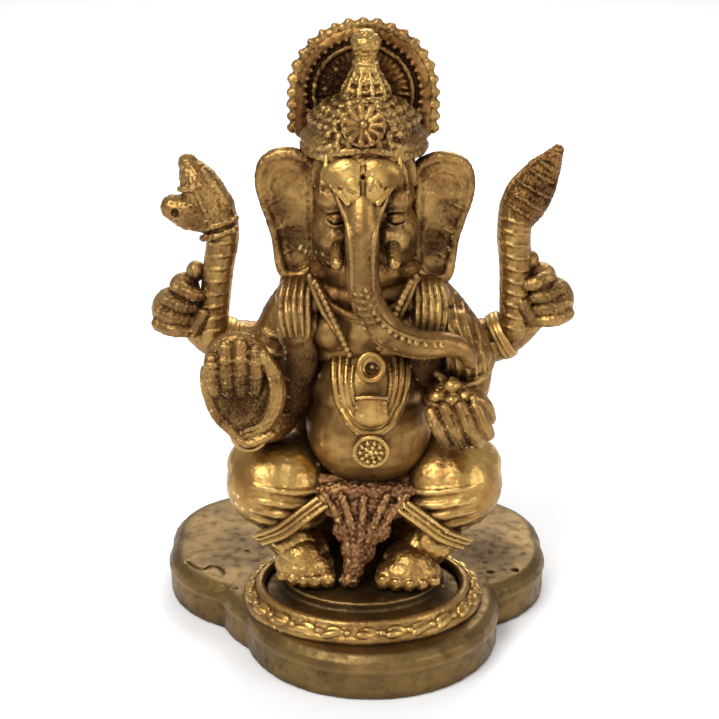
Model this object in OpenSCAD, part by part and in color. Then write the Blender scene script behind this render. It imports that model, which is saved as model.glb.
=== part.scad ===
// Seated elephant-headed deity on a lobed plinth: a small cast brass figurine built up from
// separate castings that are brazed together, and held to its hollow plinth by two screws.
// Millimetres, +Z up, the figure faces -Y. "right" and "left" are the figure's own sides, so
// the figure's right hand is at -X. The origin is on the table, at the middle of the outline.

/* [Plinth] */
// Height of the plinth's deck above the table
plinth_h = 9; // [8.5:0.5:10]
// Wall and deck thickness of the hollow plinth
plinth_wall = 2.6; // [2:0.2:3]
// Radius of the plinth's front lobe
front_lobe_r = 24.2; // [24:0.1:24.6]
// Radius of the right-hand lobe, the one under the goad
right_lobe_r = 20; // [19.5:0.25:20]
// Radius of the left-hand lobe, the one under the noose
left_lobe_r = 19.5; // [19:0.25:19.5]
// Radius of the two swells behind the side lobes
swell_r = 17; // [16:0.5:17]
// Radius of the rear lobe
rear_lobe_r = 19.6; // [18.8:0.2:19.6]

/* [Seat] */
// Half width of the oval seat plate
seat_rx = 20.4; // [20:0.1:20.6]
// Height of the seat plate above the deck
seat_h = 3.8; // [3.4:0.2:4.2]
// Number of relief petals round the seat
petal_count = 22; // [16:1:26]

/* [Aureole] */
// Outer radius of the aureole arch
aureole_r = 12.6; // [12.4:0.1:12.8]
// Radius of each tooth on the aureole
tooth_r = 1.15; // [0.8:0.05:1.3]
// Number of teeth on the round part of the aureole
tooth_count = 17; // [13:1:19]

/* [Ornaments] */
// Radius of the pendant disc on the belly
pendant_r = 3.8; // [3:0.1:4]
// Radius of the brooch disc at the waist
brooch_r = 2.8; // [2.4:0.1:3]
// Radius of the sweets bowl's mouth
bowl_r = 5; // [4.6:0.1:5.2]
// Radius of one sweet
sweet_r = 1.6; // [1.4:0.05:1.65]

/* [Fixing] */
// Thread radius of the two screws under the plinth
screw_r = 1.5; // [1.5:0.1:2]
// Distance between the two screws
screw_gap = 16; // [14:1:20]

/* [Hidden] */

brass = "#b08a3e";
worn_brass = "#c9a552";
dark_brass = "#7a5a2c";

deck_z = plinth_h;
seat_z = plinth_h + seat_h;         // top of the seat plate, where the figure sits
seat_ry = seat_rx * 0.83;
seat_y = -11;                       // middle of the oval seat
lip_w = 1.9;
front_lobe = [1.6, -10.4];          // lobe centres on the deck
right_bridge = [-12.6, -4.6, 14.7]; // eases the right-hand notch, [x, y, radius]
right_lobe = [-18.4, 10];
right_swell = [-21.2, 17];
left_lobe = [16.6, 9.5];
left_swell = [18.8, 16];
rear_lobe = [-0.8, 15];
aureole_centre = [0.1, 7, 103];
aureole_foot = 7.4;                 // the arch runs straight down this far below its middle
left_rear_lift = 2;                 // the left rear hand is held a little higher

/* ---- shapes ---- */

// Catmull-Rom curve through stations; t runs from 0 to the number of spans
function along(p, t) =
  let (n = len(p) - 1, i = min(floor(t), n - 1), f = t - i,
       a = p[max(i - 1, 0)], b = p[i], c = p[i + 1], d = p[min(i + 2, n)])
  0.5 * (2 * b + (c - a) * f + (2 * a - 5 * b + 4 * c - d) * f * f
         + (3 * b - a - 3 * c + d) * f * f * f);

function place(s) = [s[0], s[1], s[2]];
function unit(v) = v / norm(v);
function heading(p, t) =
  unit(place(along(p, min(t + 0.02, len(p) - 1))) - place(along(p, max(t - 0.02, 0))));

// One elliptical ring of points: centre c, heading h, half width w across the depth direction, half depth d
function ring(c, h, depth, w, d, sides) =
  let (u = unit(cross(h, depth)), v = cross(u, h))
  [for (j = [0:sides - 1]) c + w * cos(360 * j / sides) * u + d * sin(360 * j / sides) * v];

// A smooth solid through stations [x, y, z, half width, half depth]. The ends are domed by the
// share of the end's smaller radius that starts and ends give, or flat at 0.
module loft(stations, depth = [0, 1, 0], sides = 12, steps = 3, starts = 0.7, ends = 0.7) {
  spans = len(stations) - 1;
  first = stations[0];
  last = stations[spans];
  h0 = heading(stations, 0);
  h1 = heading(stations, spans);
  r0 = starts * min(first[3], first[4]);
  r1 = ends * min(last[3], last[4]);
  domes = [60, 30];
  rings = concat(
    starts > 0 ? [for (a = domes)
      ring(place(first) - h0 * r0 * sin(a), h0, depth, first[3] * cos(a), first[4] * cos(a), sides)] : [],
    [for (i = [0:spans * steps])
      let (t = i / steps, s = along(stations, t))
      ring(place(s), heading(stations, t), depth, s[3], s[4], sides)],
    ends > 0 ? [for (a = [30, 60])
      ring(place(last) + h1 * r1 * sin(a), h1, depth, last[3] * cos(a), last[4] * cos(a), sides)] : []);
  n = len(rings);
  points = concat([for (r = rings) each r], [place(first) - h0 * r0, place(last) + h1 * r1]);
  faces = concat(
    [for (i = [0:n - 2]) for (j = [0:sides - 1])
      let (k = (j + 1) % sides)
      each [[i * sides + j, i * sides + k, (i + 1) * sides + k],
            [i * sides + j, (i + 1) * sides + k, (i + 1) * sides + j]]],
    [for (j = [0:sides - 1]) [n * sides, (j + 1) % sides, j]],
    [for (j = [0:sides - 1]) [n * sides + 1, (n - 1) * sides + j, (n - 1) * sides + (j + 1) % sides]]);
  polyhedron(points, faces, convexity = 8);
}

// A closed ring of round section swept through the points of path
module closed_tube(path, r, sides = 8) {
  n = len(path);
  rings = [for (i = [0:n - 1])
    let (h = unit(path[(i + 1) % n] - path[(i + n - 1) % n])) ring(path[i], h, [0, 0, 1], r, r, sides)];
  polyhedron(
    [for (r = rings) each r],
    [for (i = [0:n - 1]) for (j = [0:sides - 1])
      let (m = (i + 1) % n, k = (j + 1) % sides)
      each [[i * sides + j, i * sides + k, m * sides + k],
            [i * sides + j, m * sides + k, m * sides + j]]],
    convexity = 8);
}

module capsule(a, b, ra, rb) {
  hull() {
    translate(a) sphere(ra, $fn = 12);
    translate(b) sphere(rb, $fn = 12);
  }
}

// A thin disc with a raised rim, its face towards -Y
module disc(r, thickness, rim) {
  rotate([90, 0, 0])
    rotate_extrude($fn = 48)
      polygon([[0, 0], [r, 0], [r, thickness], [r - rim * 0.4, thickness + rim * 0.5],
               [r - rim, thickness], [rim, thickness - 0.2], [0, thickness + 0.2]]);
}

module mirrored_if(flip) {
  if (flip) mirror([1, 0, 0]) children();
  else children();
}

/* ---- plinth and seat ---- */

// The plinth's lobed outline, taken in by inset all round
module lobes(h, inset) {
  for (lobe = [[front_lobe, front_lobe_r], [right_lobe, right_lobe_r], [left_lobe, left_lobe_r],
               [right_swell, swell_r], [left_swell, swell_r], [rear_lobe, rear_lobe_r],
               [right_bridge, right_bridge[2]]])
    translate([lobe[0].x, lobe[0].y, 0]) cylinder(r = lobe[1] - inset, h = h, $fn = 96);
}

module plinth() {
  edge = 1.2;                       // step that rounds the deck's edge off
  color(brass) difference() {
    union() {
      lobes(plinth_h - edge, 0);
      lobes(plinth_h, edge);
    }
    translate([0, 0, -1]) lobes(plinth_h - plinth_wall + 1, plinth_wall);
    for (side = [-1, 1])
      translate([side * screw_gap / 2, seat_y + 12, 0]) cylinder(r = screw_r + 0.1, h = plinth_h + 1, $fn = 32);
  }
}

module oval(rx, h) {
  linear_extrude(h) scale([1, seat_ry / seat_rx]) circle(rx, $fn = 96);
}

module seat_plate() {
  step = 1.2;                       // the foot block stands this far above the dished floor
  color(worn_brass) translate([0, seat_y, deck_z]) difference() {
    union() {
      oval(seat_rx - lip_w, seat_h - step);
      translate([0, 2.4, 0]) oval(seat_rx - lip_w - 3.2, seat_h);
    }
    for (side = [-1, 1])
      translate([side * screw_gap / 2, 12, -1]) cylinder(r = screw_r, h = seat_h + 2, $fn = 32);
  }
}

module seat_border() {
  color(brass) translate([0, seat_y, deck_z]) difference() {
    union() {
      oval(seat_rx + 2.2, seat_h * 0.45);
      oval(seat_rx, seat_h - 0.5);
    }
    translate([0, 0, -1]) oval(seat_rx - lip_w, seat_h + 2);
  }
}

module border_petals() {
  petal_r = 1.3;
  color(worn_brass) for (i = [0:petal_count - 1])
    let (a = 360 * i / petal_count)
    translate([(seat_rx + 1.2) * cos(a), seat_y + (seat_ry + 1.2) * sin(a), deck_z + seat_h * 0.45])
      cylinder(r = petal_r, h = 0.7, $fn = 24);
}

module fixing_screws() {
  head_r = screw_r * 1.9;
  head_h = 1.6;
  underside = plinth_h - plinth_wall;
  color("silver") for (side = [-1, 1])
    translate([side * screw_gap / 2, seat_y + 12, underside - head_h]) difference() {
      union() {
        cylinder(r = head_r, h = head_h, $fn = 32);
        cylinder(r = screw_r - 0.02, h = head_h + plinth_wall + seat_h - 1, $fn = 32);
      }
      translate([-head_r, -0.3, -1]) cube([2 * head_r, 0.6, 1.7]);
    }
}

/* ---- body ---- */

module hips() {
  color(dark_brass) loft([[0, 7, deck_z, 13, 7.6], [0, 7, 14, 16.4, 10.4], [0, 6, 19, 17, 11], [0, 5, 25, 16.5, 11.5],
                          [0, 4, 31, 14.5, 11], [0, 4, 36, 12.5, 9.5]],
                         sides = 16, steps = 2, starts = 0, ends = 0.2);
}

module belly() {
  color(brass) loft([[1, -3, 31, 7, 7], [1, -3.4, 36, 11, 10.5], [1, -3.2, 43, 12.2, 11.8],
                     [1, -2.4, 50, 11.6, 11], [0.6, -1, 57, 10, 9]],
                    sides = 18, steps = 3, starts = 0.5, ends = 0);
}

module chest() {
  color(brass) loft([[0.6, 5, 36, 14, 7], [0.6, 3.6, 44, 15, 8], [0.3, 1.8, 54, 14.2, 9], [0, 0.4, 61, 14.6, 9.4],
                     [0, 0.6, 66, 14, 8.4], [0, 1, 69.4, 10.6, 7]],
                    sides = 16, steps = 2, starts = 0.2, ends = 0.3);
}

module neck() {
  color(dark_brass) loft([[0.2, 0, 65, 12, 8.4], [0.2, 0, 70, 10, 8], [0.3, -0.2, 76, 8, 7.4]],
                         steps = 2, starts = 0, ends = 0);
}

module waist_belt() {
  belt_rx = 15.4;
  belt_ry = 12;
  color(worn_brass) closed_tube(
    [for (a = [0:15:345]) [belt_rx * cos(a), 2.2 + belt_ry * sin(a), 31.8 + 1.6 * sin(a)]], 1.3);
}

module thigh(flip, knee_x) {
  color(worn_brass) mirrored_if(flip)
    loft([[4, 5, 27, 9, 9], [11, 2, 28.2, 10.4, 10.6], [knee_x - 3.4, -3, 28.4, 10.2, 10.6],
          [knee_x + 2, -4.6, 28.4, 8.4, 8.4]],
         sides = 16, steps = 3, starts = 0.3, ends = 0.55);
}

module shin(flip) {
  color(brass) mirrored_if(flip)
    loft([[15.6, -7, 20.6, 3.7, 4.6], [13, -8.4, 19.2, 4.2, 4.8], [10, -9, 18, 3.6, 4.2]], steps = 2);
}

// Foot with five toes: a domed instep that spreads to its inner and outer ball, the big toe first
module foot(instep, inner, outer, toe_a, toe_b) {
  toe_r = [1.8, 1.5, 1.4, 1.3, 1.2];
  color(worn_brass) union() {
    capsule(instep, inner, 4.4, 2.9);
    capsule(instep, outer, 4.4, 3.1);
    capsule(inner, outer, 2.9, 3.1);
    capsule(inner, toe_a + [0, 1.8, 0.2], 2.2, 1.8);
    capsule(outer, toe_b + [0, 1.8, 0.2], 2.2, 1.4);
    for (i = [0:4])
      let (tip = toe_a + (toe_b - toe_a) * i / 4 - [0, 1.2 * sin(45 * i), 0])
      capsule(tip + [0, 2.6, 0.6], tip, toe_r[i], toe_r[i]);
  }
}

module right_foot() {
  foot([-11.6, -9, 17.6], [-8.6, -12.4, 15.8], [-13.8, -11.6, 15.8],
       [-6.6, -15, seat_z + 1.7], [-15.4, -13.6, seat_z + 1.2]);
}

module left_foot() {
  foot([9, -10.6, 16.4], [5.4, -13.4, 15.6], [11.8, -13.6, 15.6],
       [3.8, -15.4, seat_z + 1.7], [13.6, -16, seat_z + 1.2]);
}

module hem(flip, rise) {
  color(worn_brass) mirrored_if(flip)
    loft([[7.6, -12.6, 28.6 + rise * 0.6, 1.5, 1.2], [11.2, -13.8, 25.4 + rise, 1.6, 1.4],
          [15.2, -13.5, 22.2 + rise, 1.6, 1.4], [19.8, -11, 19.8 + rise * 0.6, 1.4, 1.2]], sides = 8, steps = 2);
}

module front_sash() {
  color(dark_brass) loft([[0.6, -9.6, 31.4, 10.4, 2], [0, -11.6, 28, 7.8, 2.4], [-0.8, -13.4, 23.4, 5, 2.4],
                          [-1.6, -14.4, 19.4, 2.6, 1.9], [-2.6, -15.6, seat_z + 1.4, 1.8, 1.5]],
                         sides = 10, steps = 2, starts = 0.3, ends = 0.5);
}

/* ---- head ---- */

module head() {
  color(brass) loft([[0.4, 0, 74, 5.6, 6], [0.4, -0.8, 79, 8.4, 8], [0.3, -1.4, 85, 9.4, 9],
                     [0.2, -1.2, 91, 9.8, 9.6], [0.2, 0, 96.4, 10, 9.8]],
                    sides = 16, steps = 2, starts = 0.4, ends = 0.1);
}

module trunk() {
  color(worn_brass) loft([[-0.2, -9.4, 91, 4.8, 2.4], [-0.2, -12, 86.4, 3.4, 3], [-0.1, -13.2, 80, 3, 3],
                          [0, -13.4, 74.4, 3.1, 3.1], [1.6, -13.6, 68.2, 3, 3], [5.4, -13.8, 63.8, 2.9, 2.9],
                          [10.4, -13.6, 61.9, 2.7, 2.7], [15.4, -13.2, 61.6, 2.3, 2.4],
                          [18.6, -12.8, 60.2, 1.9, 2], [19.4, -12.6, 57.8, 1.6, 1.7]],
                         sides = 12, steps = 2, starts = 0.6, ends = 0.6);
}

module forehead_plate() {
  color(worn_brass) loft([[0, -9.2, 95.6, 7.2, 1.2], [0, -10.2, 93.6, 7, 1.6], [-0.1, -11.2, 91, 5.4, 1.6],
                          [-0.2, -12.6, 88, 3.4, 1.4]], sides = 10, steps = 2, starts = 0.4, ends = 0.4);
}

module eyes() {
  color(dark_brass) for (x = [-4.6, 6])
    translate([x, -8.8, 84.2]) sphere(1.7, $fn = 24);
}

module tusk(x, lean) {
  color(worn_brass) translate([x, -9.4, 77.4]) rotate([62, 0, lean]) union() {
    cylinder(r1 = 1.5, r2 = 1.1, h = 5, $fn = 24);
    translate([0, 0, 5]) sphere(1.1, $fn = 24);
  }
}

// One ear: a leaf that is widest near its top, its outer edge swept back
module ear(flip, top_x, drop) {
  color(brass) mirrored_if(flip) translate([0, 0, -drop])
    loft([[top_x - 0.4, 1, 93.6, 4.2, 1.2], [top_x - 0.8, 0.6, 90.6, 6.2, 1.7], [top_x - 1.2, 0.4, 86.4, 6.2, 1.8],
          [top_x - 2.6, 0.2, 80.6, 5, 1.7], [top_x - 2.8, 0, 75, 4.3, 1.6], [top_x - 2, 0, 70.6, 3.4, 1.3]],
         depth = [0.35, 1, 0], sides = 12, steps = 2, starts = 0.8, ends = 0.8);
}

module crown() {
  color(brass) translate([0.2, 0.8, 0]) rotate_extrude($fn = 64)
    polygon([[0, 94], [10.6, 94], [11.6, 95.2], [11.7, 97], [11.2, 98.6], [10.2, 99.8], [8.8, 101.2],
             [6.8, 102.8], [4.6, 103.9], [2.4, 104.5], [0, 104.7]]);
}

module crown_boss() {
  color(worn_brass) translate([0.1, -8.2, 100.8]) rotate([-34, 0, 0]) disc(4.1, 1.4, 1.2);
}

module crown_finial() {
  color(worn_brass) translate([0.5, 1.6, 0]) rotate_extrude($fn = 40)
    polygon([[0, 103.4], [4.6, 103.4], [4.4, 104.6], [3.4, 105.2], [3.4, 106.6], [1.9, 107.6], [2.5, 108.8], [2.6, 109.8], [1.6, 110.8],
             [1.7, 111.6], [2.8, 112.8], [2.9, 114], [2, 115.2], [0.9, 116], [0, 116]]);
}

module aureole() {
  rim = 3.6;
  back = 1.6;                       // the disc's back face behind its middle plane
  front = 2;                        // the rim stands this far forward
  color(dark_brass) translate(aureole_centre) union() {
    rotate([90, 0, 0]) rotate_extrude($fn = 72)
      polygon([[0, -back], [aureole_r - 1, -back], [aureole_r, -back / 2], [aureole_r, 1.2], [aureole_r - 1, front],
               [aureole_r - rim + 1, front], [aureole_r - rim, 1.2], [aureole_r - rim - 1, -0.1], [0, -0.1]]);
    translate([1 - aureole_r, 0.1, -aureole_foot]) cube([2 * aureole_r - 2, back - 0.1, aureole_foot]);
    for (side = [-1, 1])
      translate([side * (aureole_r - 1.6), 0, 0]) hull() for (z = [-aureole_foot, 0])
        translate([0, 0, z]) {
          cube([2, front + back, 0.02], center = true);
          translate([0, -0.2, 0]) cube([3.2, 2, 0.02], center = true);
        }
  }
}

// Teeth round the arch and down its two straight sides
module aureole_teeth() {
  side_pitch = 2.2;
  round_part = [for (i = [0:tooth_count - 1]) 180 * i / (tooth_count - 1)];
  color(worn_brass) translate(aureole_centre + [0, -0.4, 0]) {
    for (a = round_part)
      translate([(aureole_r + 0.2) * cos(a), 0, (aureole_r + 0.2) * sin(a)]) rotate([0, -a, 0]) tooth();
    for (side = [-1, 1]) for (i = [1:3])
      translate([side * (aureole_r + 0.1), 0, -i * side_pitch]) rotate([0, side > 0 ? 0 : 180, 0]) tooth();
  }
}

module tooth() {
  rotate([0, 90, 0]) union() {
    cylinder(r1 = tooth_r, r2 = tooth_r * 0.7, h = 0.9, center = true, $fn = 20);
    translate([0, 0, 0.3]) sphere(tooth_r * 0.8, $fn = 20);
  }
}

/* ---- arms and what they hold ---- */

module right_front_arm() {
  color(brass) loft([[-11.9, 0.4, 66.4, 4.6, 5.2], [-15.2, 0.4, 59.6, 4.7, 5.2], [-15.8, 0.4, 52, 5.2, 5.2],
                     [-15.6, -1, 45.4, 5.2, 5], [-17.6, -5.4, 42.4, 4, 3.8], [-21.4, -9.2, 43.6, 3.2, 3.2]],
                    depth = [0, 0.8, 0.6], steps = 2, ends = 0.3);
}

// Raised open hand, palm to the front
module right_front_hand() {
  finger_x = [-27.8, -25.2, -22.5, -19.7];
  finger_top = [60.2, 62.6, 63, 61.2];
  color(worn_brass) union() {
    capsule([-21.6, -10.6, 45.4], [-22.6, -11.2, 50.6], 3.6, 6);
    capsule([-25.4, -11, 50.6], [-26, -11, 55.4], 3.4, 3.2);
    capsule([-20.2, -11, 50.6], [-20.2, -11, 55.4], 3.4, 3.2);
    for (i = [0:3]) capsule([finger_x[i] + 0.6, -11.8, 53], [finger_x[i], -11.8, finger_top[i]], 1.7, 1.4);
    capsule([-18.6, -11.8, 46.8], [-16.6, -11.6, 52.4], 2.2, 1.9);
    capsule([-16.6, -11.6, 52.4], [-17.6, -11.4, 57.6], 1.9, 1.5);
  }
}

module left_front_arm() {
  color(brass) loft([[12.3, 0.4, 66.6, 4.8, 5.2], [16.2, -0.4, 61.4, 4.6, 5.4], [19.2, -2, 56, 5, 5.2],
                     [19.4, -4.4, 50.6, 4.8, 4.8], [18.6, -8, 48, 3.8, 3.8], [17.2, -11, 47.2, 3.2, 3.2]],
                    depth = [0, 0.8, 0.6], steps = 2, ends = 0.3);
}

// Cupped hand under the bowl, its fingers wrapped up round the front
module left_front_hand() {
  finger_x = [12.6, 15.2, 17.8, 20.2];
  color(worn_brass) union() {
    capsule([18.2, -10.6, 47], [16, -12.4, 45.6], 3.6, 3.6);
    capsule([16, -12.4, 45.6], [17.2, -14, 44.8], 3.2, 2.8);
    for (x = finger_x) {
      capsule([x + 1.8, -15.4, 43.6], [x + 0.6, -17.4, 46.4], 1.5, 1.4);
      capsule([x + 0.6, -17.4, 46.4], [x - 0.8, -17.8, 50], 1.4, 1.2);
    }
    capsule([20.6, -12.4, 47], [21.8, -14.2, 51], 1.7, 1.4);
  }
}

module sweets_bowl() {
  color(brass) translate([16.2, -12.8, 47.4]) rotate_extrude($fn = 40)
    polygon([[0, 0], [2.4, 0], [4, 1.2], [bowl_r, 3.2], [bowl_r, 4], [bowl_r - 0.8, 4],
             [bowl_r - 1.6, 2.6], [0, 2.2]]);
}

module sweets() {
  ring_r = 2.9;
  color(worn_brass) translate([16.2, -12.8, 47.4]) {
    for (i = [0:4]) translate([ring_r * cos(72 * i - 90), ring_r * sin(72 * i - 90), 4.3]) sphere(sweet_r, $fn = 24);
    translate([0, 0, 6.4]) sphere(sweet_r, $fn = 24);
  }
}

module rear_arm(flip, lift) {
  color(brass) mirrored_if(flip)
    loft([[11.4, 4.4, 61, 4.2, 4.2], [17.4, 4.8, 54.8 + lift / 4, 4.5, 4.2], [24, 4.4, 54.8 + lift / 4, 4.5, 4],
          [28.8, 3.8, 56.8 + lift * 0.7, 3.9, 3.6], [32, 3, 60 + lift, 3.3, 3.2]],
         steps = 2, starts = 0.3, ends = 0.3);
}

// Fist that closes round a shaft on its inner side
module rear_hand(flip, lift) {
  color(worn_brass) translate([0, 0, lift]) mirrored_if(flip) union() {
    capsule([31, 3, 60.2], [35.6, 3.4, 61.8], 3.7, 4.2);
    capsule([35.6, 3.4, 61.8], [33.2, 3, 66.6], 4.2, 2.9);
    capsule([33.2, 3, 66.6], [30.8, 2.6, 70.4], 2.9, 1.6);
    capsule([34.8, 0.5, 60.2], [33.2, 0.5, 67.4], 1.7, 1.3);
    for (i = [0:3]) {
      let (z = 59.8 + i * 2.4, x = 38 - i * i * 0.42) {
        capsule([x, 1.6, z], [x - 2.2, -0.8, z - 0.3], 1.7, 1.5);
        capsule([x - 2.2, -0.8, z - 0.3], [x - 5.4 + i * 0.4, -0.4, z - 0.8], 1.5, 1.3);
      }
    }
    capsule([31.6, 0.4, 59.2], [29.4, -0.6, 62.6], 1.8, 1.5);
  }
}

module front_bracelets() {
  color(worn_brass) {
    translate([-21, -8.8, 43.1]) rotate([64, 0, -18]) rotate_extrude($fn = 32) translate([3.5, 0]) circle(0.8, $fn = 20);
    translate([18.8, -9.2, 48.8]) rotate([62, 0, 24]) rotate_extrude($fn = 32) translate([3.5, 0]) circle(0.8, $fn = 20);
  }
}

module rear_bracelets() {
  color(worn_brass) for (side = [-1, 1])
    translate([side * 26.2, 4, 55.5 + (side > 0 ? left_rear_lift * 0.5 : 0)]) rotate([0, side * 62, 0])
      rotate_extrude($fn = 32) translate([4.3, 0]) circle(0.8, $fn = 20);
}

module goad_shaft() {
  color(brass) loft([[-28.2, 1.4, 58.6, 2.8, 2.4], [-27.6, 1.6, 64, 3, 2.6], [-26.7, 2.2, 71, 3, 2.6],
                     [-25.8, 2.8, 77, 3.3, 2.7], [-26.8, 3, 82, 3.4, 2.8]], sides = 12, steps = 2);
}

// Head of the elephant goad: a thick curved spike, a blunt hook to the outside, and two ring bands
module goad_head() {
  color(worn_brass) union() {
    for (z = [78.2, 80]) capsule([-28.8, 1.6, z - 0.3], [-23.2, 1.6, z + 0.4], 1.1, 1.1);
    capsule([-26.6, 3, 79.6], [-28.5, 3, 84], 3.9, 4.1);
    capsule([-28.5, 3, 84], [-30.4, 3, 87.8], 4.1, 3.4);
    capsule([-30.4, 3, 87.8], [-32, 3, 91], 3.4, 1.7);
    capsule([-28, 3, 81.2], [-32.6, 3, 81.6], 3.9, 3.5);
    capsule([-32.6, 3, 81.6], [-35, 3, 82.2], 3.5, 2.4);
  }
}

module noose_shaft() {
  color(brass) loft([[28.2, 1.4, 59.6, 2.8, 2.4], [28.4, 1.6, 65, 3.1, 2.5], [28.3, 2.2, 72, 3.2, 2.5],
                     [27.8, 2.8, 77, 3.3, 2.5], [28.4, 3, 82, 3.5, 2.5]], sides = 12, steps = 2);
}

// Folded rope noose: a pointed leaf of twisted cord
module noose_head() {
  color(worn_brass) loft([[28.4, 3, 80, 3.9, 2.4], [30, 3, 84, 4.7, 2.5], [32.2, 3, 87.6, 3.9, 2.2],
                         [34.2, 3, 91, 2.4, 1.7], [35.8, 3, 93.8, 1, 0.8]],
                         sides = 12, steps = 2, starts = 0.5, ends = 0.8);
}

/* ---- dress and ornaments ---- */

module shawl(flip) {
  color(dark_brass) mirrored_if(flip)
    loft([[10.6, 1.4, 69.4, 4.2, 2.2], [11.6, -4.8, 67.4, 4, 1.8], [12.2, -8, 62, 3.6, 1.5],
          [11.4, -9, 56, 2.8, 1.4], [11.6, -8.6, 51, 2, 1.2]],
         depth = [0.3, 1, 0.2], sides = 10, steps = 2, starts = 0.4);
}

module back_shawl() {
  color(dark_brass) loft([[0, 6, 69.4, 8.6, 3.2], [0, 7.2, 62, 12.8, 4], [0, 7.4, 54, 12.6, 4.2],
                          [0, 8.6, 45, 13.2, 4.6], [0, 10.8, 35, 14.6, 5.2]],
                         sides = 16, steps = 2, starts = 0.5, ends = 0.4);
}

// Three U-shaped rows of the necklace, each lying on the belly's curve
module necklace_rows() {
  rows = [[6.9, 54.6, 42.6], [5.5, 54.2, 44.6], [4.1, 53.8, 46.6]];
  color(worn_brass) for (row = rows)
    let (top = row[1], drop = row[1] - row[2])
    loft([for (a = [-90:22.5:90])
      let (x = row[0] * sin(a) + 1.2, z = top - drop * cos(a))
      [x, belly_front(x, z) - 0.2, z, 0.62, 0.8]], depth = [0, 1, 0.01], sides = 8, steps = 1);
}

// Depth of the belly's front surface at height z and offset x from the middle
function belly_front(x, z) =
  let (up = (z - 43.5) / 15.5, out = (x - 1) / 12.4)
  -3 - 12.1 * sqrt(max(0.05, 1 - up * up - out * out));

module neck_beads() {
  color(worn_brass) for (side = [-1, 1]) for (i = [0:6])
    translate([side * (8.6 - i * 0.9), -6.4 - i * 0.5, 72 - i * 2.1]) sphere(0.85, $fn = 16);
}

module belly_plate() {
  color(worn_brass) loft([[1.2, -14.2, 51.8, 3.6, 0.8], [1.2, -15.2, 48.6, 3.6, 0.9], [1.2, -15.4, 46.4, 2.6, 0.8]],
                         sides = 10, steps = 2, starts = 0.3, ends = 0.6);
}

module pendant() {
  color(worn_brass) translate([1.5, -14.2, 41.4]) rotate([4, 0, 0]) disc(pendant_r, 1.2, 1);
}

module brooch() {
  color(worn_brass) translate([1.5, -11.8, 56.8]) rotate([-24, 0, 0]) disc(brooch_r, 1.2, 0.9);
}

plinth();
seat_plate();
seat_border();
border_petals();
fixing_screws();
hips();
belly();
chest();
neck();
waist_belt();
thigh(true, 18.4);  // right_thigh
thigh(false, 19.6);  // left_thigh
shin(true);  // right_shin
shin(false);  // left_shin
right_foot();
left_foot();
hem(true, 2.2);  // right_hem
hem(false, 0.8);  // left_hem
front_sash();
head();
trunk();
forehead_plate();
eyes();
tusk(-4.4, 0);  // right_tusk
tusk(5.2, 8);  // left_tusk
ear(true, 14.2, 0);  // right_ear
ear(false, 15, 0.8);  // left_ear
crown();
crown_boss();
crown_finial();
aureole();
aureole_teeth();
right_front_arm();
right_front_hand();
left_front_arm();
left_front_hand();
rear_arm(true, 0);  // right_rear_arm
rear_hand(true, 0);  // right_rear_hand
rear_arm(false, left_rear_lift);  // left_rear_arm
rear_hand(false, left_rear_lift);  // left_rear_hand
front_bracelets();
rear_bracelets();
goad_shaft();
goad_head();
noose_shaft();
noose_head();
sweets_bowl();
sweets();
shawl(true);  // right_shawl
shawl(false);  // left_shawl
back_shawl();
necklace_rows();
neck_beads();
belly_plate();
pendant();
brooch();
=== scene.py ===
import math
import random
import bpy
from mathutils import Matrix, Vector


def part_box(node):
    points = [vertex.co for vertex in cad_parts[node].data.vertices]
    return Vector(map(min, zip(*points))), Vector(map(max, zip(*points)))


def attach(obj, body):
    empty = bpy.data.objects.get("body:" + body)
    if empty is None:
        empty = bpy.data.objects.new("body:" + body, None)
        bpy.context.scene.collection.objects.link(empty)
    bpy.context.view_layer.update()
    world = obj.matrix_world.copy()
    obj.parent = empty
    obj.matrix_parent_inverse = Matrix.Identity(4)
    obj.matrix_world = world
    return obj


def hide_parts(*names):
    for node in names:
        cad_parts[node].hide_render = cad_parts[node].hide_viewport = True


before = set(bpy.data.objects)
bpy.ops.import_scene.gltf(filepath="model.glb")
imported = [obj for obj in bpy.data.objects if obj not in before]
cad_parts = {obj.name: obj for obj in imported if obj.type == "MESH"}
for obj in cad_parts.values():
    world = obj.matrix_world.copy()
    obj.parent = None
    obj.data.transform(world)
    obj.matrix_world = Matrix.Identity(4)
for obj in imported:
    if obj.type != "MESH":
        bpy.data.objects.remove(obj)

mm = 0.001
bench = {"place": Vector((0, 0, 0))}     # where the piece being made is measured from, in mm
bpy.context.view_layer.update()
dice = random.Random(11)
shape, looks = bpy.ops.mesh, {}


def dropAll():
    if bpy.context.object and bpy.context.object.mode != "OBJECT":
        bpy.ops.object.mode_set(mode="OBJECT")
    bpy.ops.object.select_all(action="DESELECT")


def pickOnly(*things):
    dropAll()
    for thing in things:
        thing.select_set(True)
    bpy.context.view_layer.objects.active = things[0]


def startAt(node):
    low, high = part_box(node)
    bench["place"] = (Vector(low) + Vector(high)) / 2 / mm


def spot(point):
    return (bench["place"] + Vector(point)) * mm


def fix(thing):
    pickOnly(thing)
    bpy.ops.object.transform_apply(location=True, rotation=True, scale=True)
    return thing


def ball(at, size, turn=(0, 0, 0), rows=12):
    dropAll()
    shape.primitive_uv_sphere_add(segments=rows * 2, ring_count=rows, radius=mm, location=spot(at),
                                  rotation=[math.radians(t) for t in turn])
    bpy.context.object.scale = (size, size, size) if isinstance(size, (int, float)) else size
    return fix(bpy.context.object)


def drum(at, size, turn=(0, 0, 0)):
    # a plain round block; size is half width, half depth, half height
    dropAll()
    shape.primitive_cylinder_add(vertices=96, radius=mm, depth=2 * mm, location=spot(at),
                                 rotation=[math.radians(t) for t in turn])
    bpy.context.object.scale = size
    return fix(bpy.context.object)


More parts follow.
